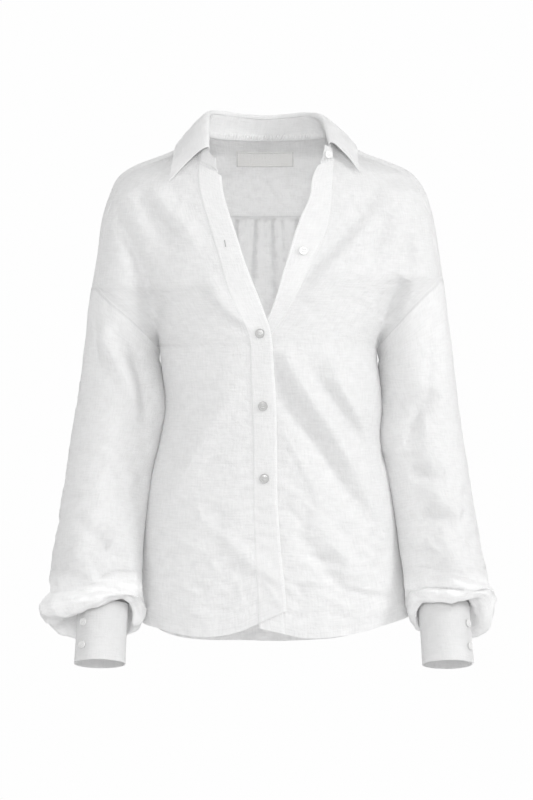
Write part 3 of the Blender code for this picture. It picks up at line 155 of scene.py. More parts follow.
SLEEVES = {
    "right": (
        (-340, 259, 140.9, 0, 58, 57, 0),
        (-372, 264.8, 142.5, 1, 58, 56, 3),
        (-405, 269.5, 149, 0, 57, 56, 5),
        (-440, 274.8, 158.2, -5, 56, 55, 8),
        (-475, 279, 166, -12, 55, 54, 10),
        (-508, 282.8, 170.8, -19, 54.5, 53.5, 11),
        (-540, 287, 174, -27, 54.5, 53, 12),
        (-568, 291, 175.5, -36, 55.5, 53.5, 13),
        (-588, 293.4, 174, -43, 56.5, 55, 13),
        (-605, 291.4, 170.5, -49, 53.5, 52.5, 13),
        (-620, 301.5, 166.5, -54, 59, 58, 17),
        (-635, 306.6, 165, -58, 61, 60, 20),
        (-648, 301, 169.5, -59, 58.5, 57.5, 23),
        (-652.5, 289, 178, -59, 52.5, 51, 24),
        (-647, 275, 179.5, -58, 46.5, 46, 22),
        (-638, 262.5, 180.5, -57, 41.5, 41.5, 19),
    ),
    "left": (
        (-340, 263.5, 162, 0, 57, 57, 0),
        (-372, 267.5, 161.2, 1, 57, 56, 3),
        (-405, 272, 160.6, 0, 56.5, 56, 5),
        (-440, 277.5, 169.2, -5, 55.5, 55, 8),
        (-475, 281.8, 176.8, -12, 54.5, 54, 10),
        (-508, 286, 182, -19, 54, 53.5, 11),
        (-540, 291.5, 187.6, -27, 54, 53, 12),
        (-560, 294.5, 192.5, -34, 54.5, 53, 13),
        (-578, 298, 195.5, -40, 54.5, 53, 13),
        (-594, 301, 191.5, -46, 53.5, 52.5, 14),
        (-608, 307, 190, -51, 58.5, 57, 18),
        (-624, 309.5, 190.5, -55, 60, 59, 21),
        (-642, 306, 195, -58, 57.5, 57, 25),
        (-648.5, 296, 203, -58.5, 51, 50.5, 26),
        (-643, 287, 199.5, -58, 46, 45.5, 23),
        (-636, 281, 199.5, -57, 41.5, 41.5, 19),
    ),
}
CUFFS = {
    "right": {"top": (220.4, -54.5, -623), "bottom": (223.4, -78, -699.5), "wide": 34.6,
              "deep": 34.8, "lap_end": -56, "turn": -1},
    "left": {"top": (239.5, -54, -622), "bottom": (243.9, -78, -700.5), "wide": 33.4,
             "deep": 34.8, "lap_end": 75, "turn": 1},
}
YOKE_COLUMNS = ("ridge_right", "ridge_left", "back_right", "back_left", "back_z")
YOKE_SIDE = (
    (-189, -177, 190.3, 197, -228),
    (-142, -136, 189, 195.5, -198),
    (-98, -96, 186.5, 193, -168),
    (-62, -61, 182.5, 188, -140),
    (-40, -40, 176, 180, -117),
    (-27, -27, 165.5, 168, -99.5),
    (-17.8, -13.4, 151, 152, -89),
    (-6, -6, 135, 135, -84),
    (4, 4, 118, 118, -84),
    (14.3, 14.3, 100, 100, -84),
)
YOKE_MIDDLE = ((86.5, 16.3, 90), (80, 18.4, 77), (67, 18.5, 64),
               (54, 18.5, 52), (40.3, 18.5, 40.3), (27, 18.5, 27),
               (13.5, 18.5, 13.5), (0, 18.5, 0))   # neck x, neck z, back seam x
YOKE_BACK_Z = -84.0
# Heights and half widths of the armhole seams.
ARMHOLE = {
    "right": ((-189, 231.4), (-198.7, 222.9), (-214, 207), (-233.2, 184.2),
              (-247, 170.2), (-260.8, 157.5), (-268.5, 151.8), (-275, 146.4)),
    "left": ((-177, 237), (-188, 228), (-198.7, 216), (-224.3, 192.5),
             (-247, 173.5), (-262, 160.5), (-269, 155.6), (-275, 153)),
}
# Heights and places of the seam and the free edge of each placket, and its slanting top.
PLACKETS = {
    "right": {
        "seam": ((14, -88.6), (0, -90.4), (-25.3, -91.4), (-55.1, -91), (-82.7, -84.6),
                 (-119.8, -74), (-153.8, -63.5), (-191, -53.2), (-230.1, -36.8),
                 (-256, -24.8), (-269.3, -21.5), (-299.8, -20.9), (-335.7, -19.3),
                 (-410, -17.2), (-500, -16.6), (-557.8, -14), (-610.8, -11.3),
                 (-660, -9.5)),
        "edge": ((-43, -60), (-62.4, -57.6), (-89.9, -50.6), (-115.4, -42.2),
                 (-158.1, -28.7), (-212, -8.2), (-232, -0.7), (-247.4, 4.6),
                 (-267.3, 8.2), (-300.2, 10.5), (-344.3, 13.2), (-388.6, 14.5),
                 (-432.7, 14.9), (-476.8, 15.3), (-520.7, 18), (-557.8, 20.4),
                 (-625.4, 27.2)),
        "top": ((-91.4, -25.3), (-60, -43)),
    },
    "left": {
        "seam": ((14, 88.6), (0, 90.6), (-20.9, 91.5), (-50.4, 88.8), (-73.1, 87.9),
                 (-120.6, 79.3), (-158, 62.8), (-215.9, 34.7), (-238.7, 21.5),
                 (-256, 9), (-269, 6.6), (-300.2, 8), (-344.3, 10.7),
                 (-388.6, 12), (-432.7, 12.4), (-476.8, 12.8), (-520.7, 15.5),
                 (-557.8, 17.9), (-660, 26)),
        "edge": ((-28, 69.6), (-33.6, 66.2), (-73.4, 57.7), (-95.8, 47.6), (-158.1, 27.4),
                 (-236, 2), (-256, -8.5), (-275, -17.5), (-300, -19.5),
                 (-335.7, -18), (-410, -16), (-500, -15), (-557.8, -12.6),
                 (-660, -8.5)),
        "top": ((91.5, -20.9), (69.6, -28)),
    },
}
# Places and heights of the hems.
HEMS = {
    "right": ((-170, -650), (-143.5, -652.9), (-122.6, -657.2), (-102.2, -660.1),
              (-81.9, -660.7), (-61.9, -658.9), (-41.9, -654.7), (-21.9, -647.9),
              (-6, -639.9), (11.3, -632), (27.2, -625.4)),
    "left": ((-12, -648), (10, -652.6), (29.9, -657.2), (47.2, -661),
             (89.2, -660.6), (126.3, -655.9), (164.9, -646.6), (197, -640.3)),
    "back": ((-170, -650), (-150, -669), (-129.1, -679.3), (-89.4, -686.7),
             (-36.5, -688.3), (24.3, -689.8), (60, -688), (110, -682),
             (150, -668), (180, -650), (197, -640.3)),
}
# Height, half width and crest of each soft fold.
FRONT_FOLDS = (
    (7, 15, ((12, -268), (57, -338), (91, -385), (131, -451), (176, -536))),
    (-6, 12, ((12, -280), (25, -338), (58, -385), (105, -465), (140, -508))),
    (4.5, 12, ((78, -270), (104, -331), (138, -385), (156, -430))),
    (-5.5, 11, ((58, -303), (98, -357), (131, -411))),
    (-5, 10, ((38, -200), (69, -160), (100, -128), (122, -103), (155, -60))),
    (4, 12, ((50, -215), (82, -175), (118, -140), (150, -100))),
    (-4, 13, ((167, -94), (146, -134), (135, -160))),
    (-4.5, 13, ((196, -120), (186, -172))),
    (4.5, 13, ((-156, -58), (-136, -82), (-108, -115), (-90, -145))),
    (-5, 11, ((-175, -58), (-157, -86), (-126, -134))),
    (4, 12, ((-80, -178), (-60, -212), (-30, -240))),
    (4.5, 17, ((-36, -318), (-67, -370), (-101, -421), (-134, -478))),
    (-8, 11, ((-206, -84), (-194, -110), (-180, -140), (-167, -172), (-155, -206),
                   (-149, -232))),
    (-7, 12, ((186, -180), (172, -205), (162, -238))),
    (3.5, 12, ((-60, -520), (-20, -560), (20, -590))),
    (4, 13, ((60, -500), (100, -545), (140, -590))),
    (-4, 12, ((40, -520), (80, -570), (110, -610))),
)
BACK_FOLDS = (
    (5, 16, ((-60, -300), (-95, -370), (-130, -440), (-150, -500))),
    (5, 16, ((70, -300), (105, -370), (140, -450), (160, -510))),
    (-5, 14, ((150, -120), (125, -170), (110, -220))),
    (-5, 14, ((-150, -120), (-125, -170), (-110, -220))),
    (-7, 12, ((172, -205), (162, -240))),
    (-7, 12, ((-160, -205), (-152, -240))),
    (4, 15, ((-90, -520), (-20, -550), (60, -560), (120, -600))),
)
SLEEVE_FOLDS = (
    (4, 13, ((-222, -215), (-219, -263), (-201, -293), (-182, -331), (-160, -380))),
    (-5, 12, ((-200, -240), (-181, -280), (-163, -330), (-158, -380))),
    (-4, 11, ((-236, -520), (-205, -540))),
    (4, 12, ((-262, -545), (-235, -570), (-215, -585))),
    (-4.5, 11, ((192, -390), (210, -359), (232, -333))),
    (-4.5, 11, ((190, -440), (218, -447), (246, -450))),
    (-4, 11, ((208, -497), (254, -507))),
    (3.5, 11, ((228, -478), (265, -498))),
)
# Place and height of each gather under the back yoke seam.
GATHERS = ((-41, 5.5), (-29, 2.5), (-14, 6), (-1.5, 4.5), (9.5, 6), (22, 2.5),
           (44, 5.5), (-56, 3.5), (-70, 4), (58, 3.5), (72, 4))
COLLAR_COLUMNS = ("share", "roll_x", "roll_y", "roll_z", "edge_x", "edge_y", "edge_z")
COLLAR = (
    (-1.00, -68.3, -66, -14.4, 0, 0, 0),
    (-0.86, -77.6, -52, -2.6, -130.5, -63, -50.2),
    (-0.75, -78.6, -37, 15, -128.6, -57, -34.7),
    (-0.65, -79, -19, 33.5, -126.4, -46.5, -19.9),
    (-0.52, -77.9, -1, 50, -123, -12, 3.8),
    (-0.40, -70, 17, 55.6, -115.5, 24, 5),
    (-0.28, -51, 32, 55.6, -99, 46, 2),
    (-0.14, -24, 40.5, 53.2, -55, 64.5, 0.5),
    (0.00, 0, 43, 52, 0, 71, 0),
    (0.14, 28, 40.5, 53.8, 55, 64.5, 1),
    (0.28, 54, 30, 54.6, 99, 46, 3),
    (0.40, 68, 15, 51.5, 115, 24, 6.5),
    (0.52, 76.5, -2, 43, 121.5, -12, 6),
    (0.65, 81.5, -22, 29, 124.5, -45.5, -13),
    (0.75, 84.2, -36, 15.5, 125.5, -52.5, -25),
    (0.86, 86.8, -50, 3.8, 126.5, -59.5, -37.1),
    (1.00, 80.4, -63, 4.6, 0, 0, 0),
)
# Finer creases of the fronts, pressed sharper than the folds.
FRONT_CREASES = (
    (2.2, 7, ((18, -378), (45, -425), (78, -492))),
    (-1.8, 7, ((-62, -229), (-45, -243), (-29, -254))),
    (2.4, 9, ((-85, -192), (-50, -230), (-16, -252))),
    (2.6, 8, ((-120, -291), (-134, -338))),
)
SLEEVE_CREASES = (
    (-2.4, 8, ((-229, -193), (-230, -250), (-229, -304))),
    (-2.2, 8, ((-236, -524), (-192, -552))),
    (2.4, 9, ((-283, -545), (-256, -573), (-222, -586))),
    (2.2, 8, ((162, -420), (188, -399))),
    (2, 8, ((211, -534), (237, -553))),
    (2, 8, ((246, -544), (265, -571))),
    (-2.2, 9, ((225, -193), (226, -290), (222, -386))),
)
SLEEVE_BACK_FOLDS = (
    (3, 13, ((-225, -260), (-215, -340), (-235, -430))),
    (-3, 12, ((-190, -280), (-200, -380), (-190, -450))),
    (3, 13, ((225, -260), (215, -340), (235, -430))),
    (-3, 12, ((195, -280), (205, -380), (195, -450))),
    (2.5, 12, ((-270, -470), (-230, -500), (-195, -510))),
    (2.5, 12, ((275, -470), (235, -500), (200, -510))),
)
# Small pressed creases between the waist and the hem.
LOW_CREASES = (
    (1.3, 4, ((96.1, -503.9), (114.8, -505.2), (136.1, -510.5))),
    (1.6, 4.5, ((72.1, -533.2), (85.4, -538.6), (101.4, -550.6), (116.1, -559.1))),
    (1.7, 4.5, ((41.3, -558.6), (58.7, -561.8), (80.1, -569.3), (101.4, -575.2), (128.1, -583.2))),
    (1.4, 4, ((29.3, -585.8), (58.7, -586.9), (96.1, -593.8))),
    (-1.8, 4, ((98.8, -596.5), (138.8, -605.3), (174.8, -612))),
    (1.5, 4, ((101.4, -591.2), (128.1, -598.1), (162.8, -603.5))),
    (1.5, 4.5, ((66.7, -600.8), (85.4, -608.8), (122.8, -630.2))),
    (-1.6, 5, ((36, -585.3), (45.3, -599.2), (57.4, -612))),
    (-1.5, 5, ((80.1, -630.2), (101.4, -633.9), (124.1, -636))),
    (-1.2, 4, ((22.7, -445.1), (32, -447), (44, -448.1))),
    (1.3, 4, ((128.1, -546.9), (141.5, -553.3), (152.2, -564.5))),
    (-1.6, 5.5, ((58.7, -550.6), (74.7, -558.1), (96.1, -558.6), (112.1, -563.9))),
    (-1.5, 5, ((112.1, -569.3), (133.5, -569.3), (152.2, -573.3))),
    (1.4, 5, ((32, -462.5), (48, -475.8), (58.7, -489.2), (80.1, -505.2), (88.1, -515.9))),
    (-1.3, 4.5, ((26.7, -486.5), (42.7, -505.2), (58.7, -518.5))),
    (1.2, 4, ((122.8, -523.9), (138.8, -531.9), (160.2, -547.9))),
    (1.4, 4.5, ((128.1, -633.4), (149.5, -628.6), (169.5, -625.4))),
    (1.2, 4, ((21.3, -612), (37.3, -620), (58.7, -628))),
    (1.3, 4, ((-128.2, -526.6), (-101.5, -539.9), (-66.8, -553.8))),
    (1.1, 4, ((-105.5, -510.5), (-85.5, -516.4), (-65.5, -523.9))),
    (-1.2, 4.5, ((-129.5, -564.5), (-106.8, -564.5), (-89.5, -559.7))),
    (1.2, 4, ((-81.5, -555.4), (-72.1, -562.6), (-65.5, -573.3))),
    (-1.2, 4, ((-150.9, -582.1), (-136.2, -583.2), (-118.9, -582.6))),
    (1.4, 4.5, ((-121.5, -590.1), (-108.2, -596.5), (-93.5, -604.5), (-74.8, -601.9))),
    (-1.3, 5, ((-92.2, -606.7), (-74.8, -609.3), (-53.4, -604))),
    (1.2, 4.5, ((-114.8, -628.6), (-90.8, -631.2), (-66.8, -630.2))),
    (1.1, 4, ((-140.2, -548.5), (-129.5, -543.9), (-121.5, -536.7))),
    (1, 4, ((-92.2, -483.8), (-88.2, -497.2), (-84.9, -511.9))),
    (1.2, 4, ((-37.4, -585.3), (-34.8, -604), (-29.4, -617.3))),
    (1.3, 5, ((-10.7, -486.5), (2.6, -483.8), (13.3, -485.2))),
    (1.2, 5, ((-12.1, -506.5), (2.6, -503.9), (16, -506.5))),
    (1.3, 5, ((-10.7, -531.9), (5.3, -537.2), (18.7, -531.9))),
    (1.5, 5, ((-5.4, -582.6), (5.3, -596), (16, -612), (24, -625.4))),
    (1.2, 5, ((-5.4, -569.3), (8, -582.6), (20, -585.3))),
)
# Bands and lips of the sleeves rolled over the cuffs.
ROLL_CREASES = (
    (-2.6, 4, ((-246, -591), (-228, -584), (-210, -578), (-184, -573), (-174, -576))),
    (4.5, 8, ((-262, -594), (-236, -591), (-205, -587), (-180, -588))),
    (-7, 4.5, ((-288, -603), (-275, -599), (-263, -597), (-236, -597), (-210, -598),
               (-191, -603), (-175, -614))),
    (4.5, 9, ((-286, -619), (-262, -615), (-236, -612), (-210, -608), (-190, -609))),
    (-2.2, 2.6, ((-237.5, -600.2), (-235, -608.2), (-237.5, -616.2))),
    (-2, 3, ((-259.8, -608.2), (-251.2, -611.1), (-242.6, -610.1))),
    (-2.8, 3.4, ((-271.2, -611.1), (-263.6, -615.9), (-259.8, -626.3))),
    (-2, 2.8, ((-226.4, -602.5), (-221.6, -607.3), (-213, -607.3))),
    (2, 3, ((-260.7, -627.3), (-253.1, -619.7), (-245.5, -612))),
    (1.8, 3, ((-216.9, -601.6), (-205.4, -602.5), (-194, -608.2))),
    (2.2, 6, ((-264.5, -562.5), (-235.9, -569.1), (-216.9, -577.7))),
    (-2.2, 4, ((187, -582), (194, -574), (204, -570), (217, -572), (242, -579), (269, -585),
               (290, -600), (303, -612))),
    (5, 9, ((192, -592), (215, -585), (245, -590), (270, -597), (292, -608))),
    (-7, 4, ((200, -606), (213, -602), (228, -601), (251, -603), (262, -607))),
    (3.5, 7, ((203, -617), (220, -611), (250, -611))),
    (2.2, 3.2, ((221.2, -602.1), (226.2, -607.3), (222.8, -612.4))),
    (-3, 5, ((193.2, -587.3), (199.9, -598.7), (205.6, -604.8))),
    (1.8, 4, ((228.5, -582.5), (247.6, -590.1), (253.3, -598.7))),
    (-1.8, 4, ((256.1, -591.1), (266.6, -593), (271.4, -600.6))),
)
# Size, slant in degrees, stretch and seed of each field of small creases.
CRUMPLES = ((34, -52, 2.1, 11), (21, 38, 1.8, 23), (12, -18, 3.2, 37), (7.5, -10, 4, 51))
# Upper and lower edge of the smooth band that is turned up over each sleeve.
ROLL_BANDS = {
    "right": (
        ((-251.2, -595.3), (-233.1, -591.1), (-218.8, -582.5), (-206.4, -576.8),
         (-194, -573.5), (-182.5, -573.9), (-166.3, -576.8)),
        ((-251.2, -601), (-233.1, -599.8), (-218.8, -598.7), (-205.4, -596),
         (-194, -597.2), (-184.4, -601), (-166.3, -616.2)),
    ),
    "left": (
        ((184.6, -588.2), (189.4, -578.7), (195.1, -573.5), (203.7, -569.3), (215.1, -571.2),
         (241.8, -576.8), (266.6, -583.4), (285.7, -593), (300.9, -609.2), (310.5, -621.6)),
        ((184.6, -625.4), (200.8, -608.2), (215.1, -601.9), (238, -601.7),
         (253.3, -603.7), (274.2, -612.4), (300.9, -616.2), (310.5, -625.4)),
    ),
}
# Turn round the arm from its inner side to the front, and lift of the roll's rim.
ROLL_LIFTS = {
    "right": ((0, 6), (0.35, 22), (0.7, 28), (1.1, 21), (1.4, 12), (1.7, 7),
              (2.3, 3), (2.9, 9), (3.4, 8), (4.1, 0), (5.6, 0), (6.29, 6)),
    "left": ((0, 10), (0.4, 20), (0.8, 17), (1.2, 14), (1.6, 13), (2.1, 19),
             (2.5, 23), (2.9, 12), (3.3, -3), (3.8, -5), (4.5, 0), (5.6, 0),
             (6.29, 10)),
}
# Number of each sleeve's random pleats.
PLEAT_SEEDS = {"right": 5, "left": 9}
FRONT_BUTTON_SIDES = (("button_front_1", Side.LEFT), ("button_front_2", Side.RIGHT),
                      ("button_front_3", Side.RIGHT), ("button_front_4", Side.RIGHT))
OPEN_HOLE = (-54.6, -136.0)    # x and z of the open buttonhole
FRONT_BUTTON_RADIUS = 6.3
SMALL_BUTTON_RADIUS = 5.4
UNDERARM_Z = -275.0
HEM_BLEND = -500.0         # rows start to follow the hem below this
HEM_LEVEL = -645.0


def smooth(x: Array | float, places: Iterable[float], values: Iterable[float]) -> Array:
    """Smooth curve through values at rising places.

    Args:
        x: Where the curve is read.
        places: Rising places of the values.
        values: Value at each place.

    Returns:
        The curve's value at each x.
    """
    spots = np.asarray(places, float)
    known = np.asarray(values, float)
    slopes = np.gradient(known, spots)
    x = np.clip(np.asarray(x, float), spots[0], spots[-1])
    i = np.clip(np.searchsorted(spots, x) - 1, 0, len(spots) - 2)
    h = spots[i + 1] - spots[i]
    t = (x - spots[i]) / h
    a = (1 + 2 * t) * (1 - t) ** 2 * known[i] + t * (1 - t) ** 2 * h * slopes[i]
    return a + t * t * (3 - 2 * t) * known[i + 1] + t * t * (t - 1) * h * slopes[i + 1]


def step(x: Array | float, low: float, high: float) -> Array:
    """Zero below low, one above high, smooth between."""
    t = np.clip((np.asarray(x, float) - low) / (high - low), 0.0, 1.0)
    return t * t * (3 - 2 * t)


def by_height(table: Sequence[Row], columns: Sequence[str], name: str, z: Array) -> Array:
    """Value of a named column of a table that runs downwards, at heights z."""
    rows = np.asarray(table, float)[::-1]
    return smooth(z, rows[:, 0], rows[:, columns.index(name)])


def falling(table: Line, z: Array | float) -> Array:
    """Second column of a table of pairs against its falling first column."""
    rows = np.asarray(table, float)[::-1]
    return smooth(z, rows[:, 0], rows[:, 1])


def in_mm(grid: Array) -> Iterator[Array]:
    """The x, y and z of a grid of points, in millimetres."""
    return (grid[..., k] / MM for k in range(3))


def running(steps: Array) -> Array:
    """Length from the start to each point of a line with these steps."""
    return np.concatenate([[0.0], np.cumsum(steps)])


def between(places: Array | float, run: Array, points: Array) -> Array:
    """Points at these lengths along a line of points with the lengths in run."""
    return np.stack([np.interp(places, run, points[:, k]) for k in range(3)], axis=-1)


def joined_up(grid: Array) -> Array:
    """Grid with its first column again behind its last one."""
    return np.concatenate([grid, grid[:, :1]], axis=1)


def turns(count: int) -> Array:
    """Even angles round a full turn, without its end."""
    return 2 * math.pi * np.arange(count) / count


def wrapped(angle: Array) -> Array:
    """Angles brought within half a turn of zero."""
    return (angle + math.pi) % (2 * math.pi) - math.pi


def unit(vectors: Array) -> Array:
    """Vectors at length one."""
    return vectors / np.maximum(np.linalg.norm(vectors, axis=-1, keepdims=True), 1e-12)


def refine(grid: Array, rows: int, columns: int, closed: bool = False) -> Array:
    """Finer grid on a smooth surface through a coarse one.

    Args:
        grid: Coarse points, rows by columns by three.
        rows: Steps between two coarse rows.
        columns: Steps between two coarse columns.
        closed: Whether the columns run round and meet.

    Returns:
        The finer grid, which holds the coarse points.
    """
    if closed:
        grid = np.concatenate([grid[:, -3:], grid, grid[:, :4]], axis=1)
    fine = resample(grid, columns, 1)
    if closed:
        fine = fine[:, 3 * columns:-4 * columns + columns - 1]
        fine = fine[:, :(fine.shape[1] // columns) * columns]
    return resample(fine, rows, 0)


def resample(grid: Array, steps: int, axis: int) -> Array:
    """Points of a smooth curve through a grid's points along one axis."""
    points = np.moveaxis(grid, axis, 0)
    count = len(points)
    slopes = np.gradient(points, axis=0)
    place = np.linspace(0.0, count - 1.0, (count - 1) * steps + 1)
    i = np.clip(place.astype(int), 0, count - 2)
    t = (place - i).reshape((-1,) + (1,) * (points.ndim - 1))
    a = (1 + 2 * t) * (1 - t) ** 2 * points[i] + t * (1 - t) ** 2 * slopes[i]
    b = t * t * (3 - 2 * t) * points[i + 1] + t * t * (t - 1) * slopes[i + 1]
    return np.moveaxis(a + b, 0, axis)


def grid_normals(grid: Array, closed: bool = False) -> Array:
    """Unit normals of a grid, along columns crossed with down its rows."""
    down = np.gradient(grid, axis=0)
    if closed:
        across = np.roll(grid, -1, axis=1) - np.roll(grid, 1, axis=1)
    else:
        across = np.gradient(grid, axis=1)
    return unit(np.cross(across, down))


@dataclass(frozen=True)
class Form:
    """The body and upper arms that the cloth lies on."""

    join_power: float = 5.0                         # how sharply body and arm run together
    fade: Pair = (-60.0, -32.0)      # heights over which the arm runs out
    arm_top: float = -45.0
    yoke_forward: float = 8.0   # drop of the forward shoulder seam below the ridge
    row_samples: int = 400
    slope_step: float = 0.5

    def size(self, z: Array | float, name: str) -> Array:
        """Named size of the body at heights z."""
        return by_height(BODY, BODY_COLUMNS, name, z)

    def half(self, z: Array | float, side: Side) -> Array:
        """Half width of the body at heights z."""
        return self.size(z, side.value)

    def arm(self, z: Array | float, side: Side, name: str) -> Array:
        """Named size of one upper arm at heights z."""
        return by_height(ARMS[side.value], ARM_COLUMNS, name, z)

    def _sided(self, x: Array, right: Array, left: Array) -> Array:
        """Right value where x is on the wearer's right, left value elsewhere."""
        return np.where(np.asarray(x, float) < 0, right, left)

    def body_depth(self, x: Array, z: Array, face: Face) -> Array:
        """Depth of the body in front of or behind the middle plane."""
        half = self._sided(x, self.half(z, Side.RIGHT), self.half(z, Side.LEFT))
        return self.size(z, face.value) * self.rounded(np.abs(x) / half, z)

    def rounded(self, share: Array, z: Array) -> Array:
        """Share of one half size of the body's section left at a share of the other."""
        power = self.size(z, "power")
        return np.clip(1 - share**power, 0, 1) ** (1 / power)

    def arm_depth(self, x: Array, z: Array, face: Face) -> Array:
        """Depth of the upper arm, fading out at the top of the shoulder."""
        sizes = [self._sided(x, self.arm(z, Side.RIGHT, name), self.arm(z, Side.LEFT, name))
                 for name in ("outer", "inner", face.value)]
        outer, inner, deep = sizes
        r = (np.abs(x) - (outer + inner) / 2) / ((outer - inner) / 2)
        return deep * np.sqrt(np.clip(1 - r * r, 0, 1)) * (1 - step(z, *self.fade))

    def depth(self, x: Array, z: Array, face: Face) -> Array:
        """Depth of the whole form at x, z."""
        body = self.body_depth(x, z, face)
        arm = self.arm_depth(x, z, face) * step(z, UNDERARM_Z - 1, UNDERARM_Z)
        return (body**self.join_power + arm**self.join_power) ** (1 / self.join_power)

    def point(self, x: Array | float, z: Array | float, face: Face,
              lift: Array | float = 0.0) -> Array:
        """Points in metres on the form, moved outwards in depth by lift."""
        x, z, lift = np.broadcast_arrays(np.asarray(x, float), np.asarray(z, float), lift)
        return np.stack([x, face.sign * (self.depth(x, z, face) + lift), z], axis=-1) * MM

    def outer_edge(self, z: Array | float, side: Side) -> Array:
        """Half width of the outline, over the arm above the underarm."""
        arm = self.arm(z, side, "outer")
        body = self.half(z, side)
        z = np.asarray(z, float)
        return np.where((z > UNDERARM_Z) & (z < self.arm_top), np.maximum(arm, body), body)

    def front_seam_point(self, z: float, side: Side) -> Pair:
        """Half width and height of the forward shoulder seam beside ridge height z."""
        rise = self.slope_step
        slope = float(self.outer_edge(z + rise, side) - self.outer_edge(z - rise, side))
        length = math.hypot(1.0, slope)
        x = float(self.outer_edge(z, side)) - self.yoke_forward / length
        return x, z + self.yoke_forward * slope / length

    def run(self, x_from: float, x_to: float, z: float, shares: Array, face: Face) -> Array:
        """Points of one row, at shares of its length from x_from to x_to."""
        t = (1 - np.cos(np.linspace(0, math.pi, self.row_samples))) / 2
        x = x_from + (x_to - x_from) * t
        y = self.depth(x, np.full_like(x, z), face)
        run = running(np.hypot(np.diff(x), np.diff(y)))
        places = np.interp(np.asarray(shares) * run[-1], run, x)
        places[0] = x_from
        places[-1] = x_to
        return self.point(places, z, face)


FORM = Form()


@dataclass(frozen=True)
class Crease:
    """One fold: height, half width and its crest as x, z points."""

    height: float
    width: float
    crest: Line
    sharp: float = 0.0     # 0 is a soft roll, 1 a pressed line
    reach: float = 3.2     # half widths beyond which it no longer counts
    edge: float = 0.22     # rounding of a pressed line, in half widths
    fall: float = 0.62     # run-out of a pressed line, in half widths
    taper_power: float = 0.7
    least: float = 0.1     # share of the height left at the ends

    def relief(self, x: Array, z: Array) -> Array:
        """Height of the crease at x, z.

        Args:
            x: Places across.
            z: Heights.

        Returns:
            Height over the cloth, tapering to the ends of the crest.
        """
        crest = np.asarray(self.crest, float)
        lengths = np.hypot(*np.diff(crest, axis=0).T)
        reach = self.reach * self.width
        low, high = crest.min(axis=0) - reach, crest.max(axis=0) + reach
        total = np.zeros(np.shape(x))
        near = (x > low[0]) & (x < high[0]) & (z > low[1]) & (z < high[1])
        px, pz = x[near], z[near]
        best = np.full(px.shape, np.inf)
        along = np.zeros(px.shape)
        start = 0.0
        for a, b, length in zip(crest[:-1], crest[1:], lengths):
            t = ((px - a[0]) * (b[0] - a[0]) + (pz - a[1]) * (b[1] - a[1])) / length**2
            t = np.clip(t, 0, 1)
            gap = np.hypot(px - a[0] - t * (b[0] - a[0]), pz - a[1] - t * (b[1] - a[1]))
            along = np.where(gap < best, (start + t * length) / lengths.sum(), along)
            best = np.minimum(best, gap)
            start += length
        taper = np.clip(4 * along * (1 - along), 0, 1) ** self.taper_power
        soft = np.exp(-((best / self.width) ** 2))
        edge = self.edge * self.width
        line = np.exp(-(np.sqrt(best**2 + edge**2) - edge) / (self.fall * self.width))
        shape = soft * (1 - self.sharp) + line * self.sharp
        total[near] = self.height * shape * (self.least + (1 - self.least) * taper)
        return total


def value_noise(u: Array, v: Array, seed: int) -> Array:
    """Smooth random field from -1 to 1 over a plane, one bump a unit.

    Args:
        u: First coordinate in bumps.
        v: Second coordinate in bumps.
        seed: Number of the field.

    Returns:
        The field at each place.
    """
    size, gain = 64, 1.6
    table = np.random.RandomState(seed).uniform(-1, 1, (size, size, 2))
    i = np.floor(u).astype(int)
    j = np.floor(v).astype(int)
    fu, fv = u - i, v - j
    su, sv = (f * f * f * (f * (f * 6 - 15) + 10) for f in (fu, fv))
    corners = []
    for a in (0, 1):
        for b in (0, 1):
            way = table[(i + a) % size, (j + b) % size]
            corners.append(way[..., 0] * (fu - a) + way[..., 1] * (fv - b))
    low = corners[0] * (1 - sv) + corners[1] * sv
    high = corners[2] * (1 - sv) + corners[3] * sv
    return gain * (low * (1 - su) + high * su)


@dataclass(frozen=True)
class Crumple:
    """Field of small random creases, longer along one slanting direction."""

    size: float
    height: float
    slant: float           # degrees of the long direction, from level
    stretch: float
    seed: int
    bend_size: float = 90.0
    bend: float = 14.0
    bend_seed: int = 50        # added to the seed
    round_off: float = 0.004   # rounding of the crests
    round_size: float = 0.063  # height that the rounding adds
    crest: float = 1.9         # share of the narrow crests
    swell: float = 0.5         # share of the plain field
    level: float = 0.55        # brings the mean height near zero

    def relief(self, x: Array, z: Array) -> Array:
        """Height at x, z, with narrow crests and broad hollows."""
        turn = math.radians(self.slant)
        along = x * math.cos(turn) + z * math.sin(turn)
        across = z * math.cos(turn) - x * math.sin(turn)
        place = (x / self.bend_size, z / self.bend_size)
        bend = value_noise(*place, self.seed + self.bend_seed) * self.bend
        u = (along + bend) / (self.size * self.stretch)
        v = (across + bend) / self.size
        plain = value_noise(u, v, self.seed)
        ridge = np.sqrt(plain**2 + self.round_off) - self.round_size
        return self.height * (self.level - self.crest * ridge + self.swell * plain)


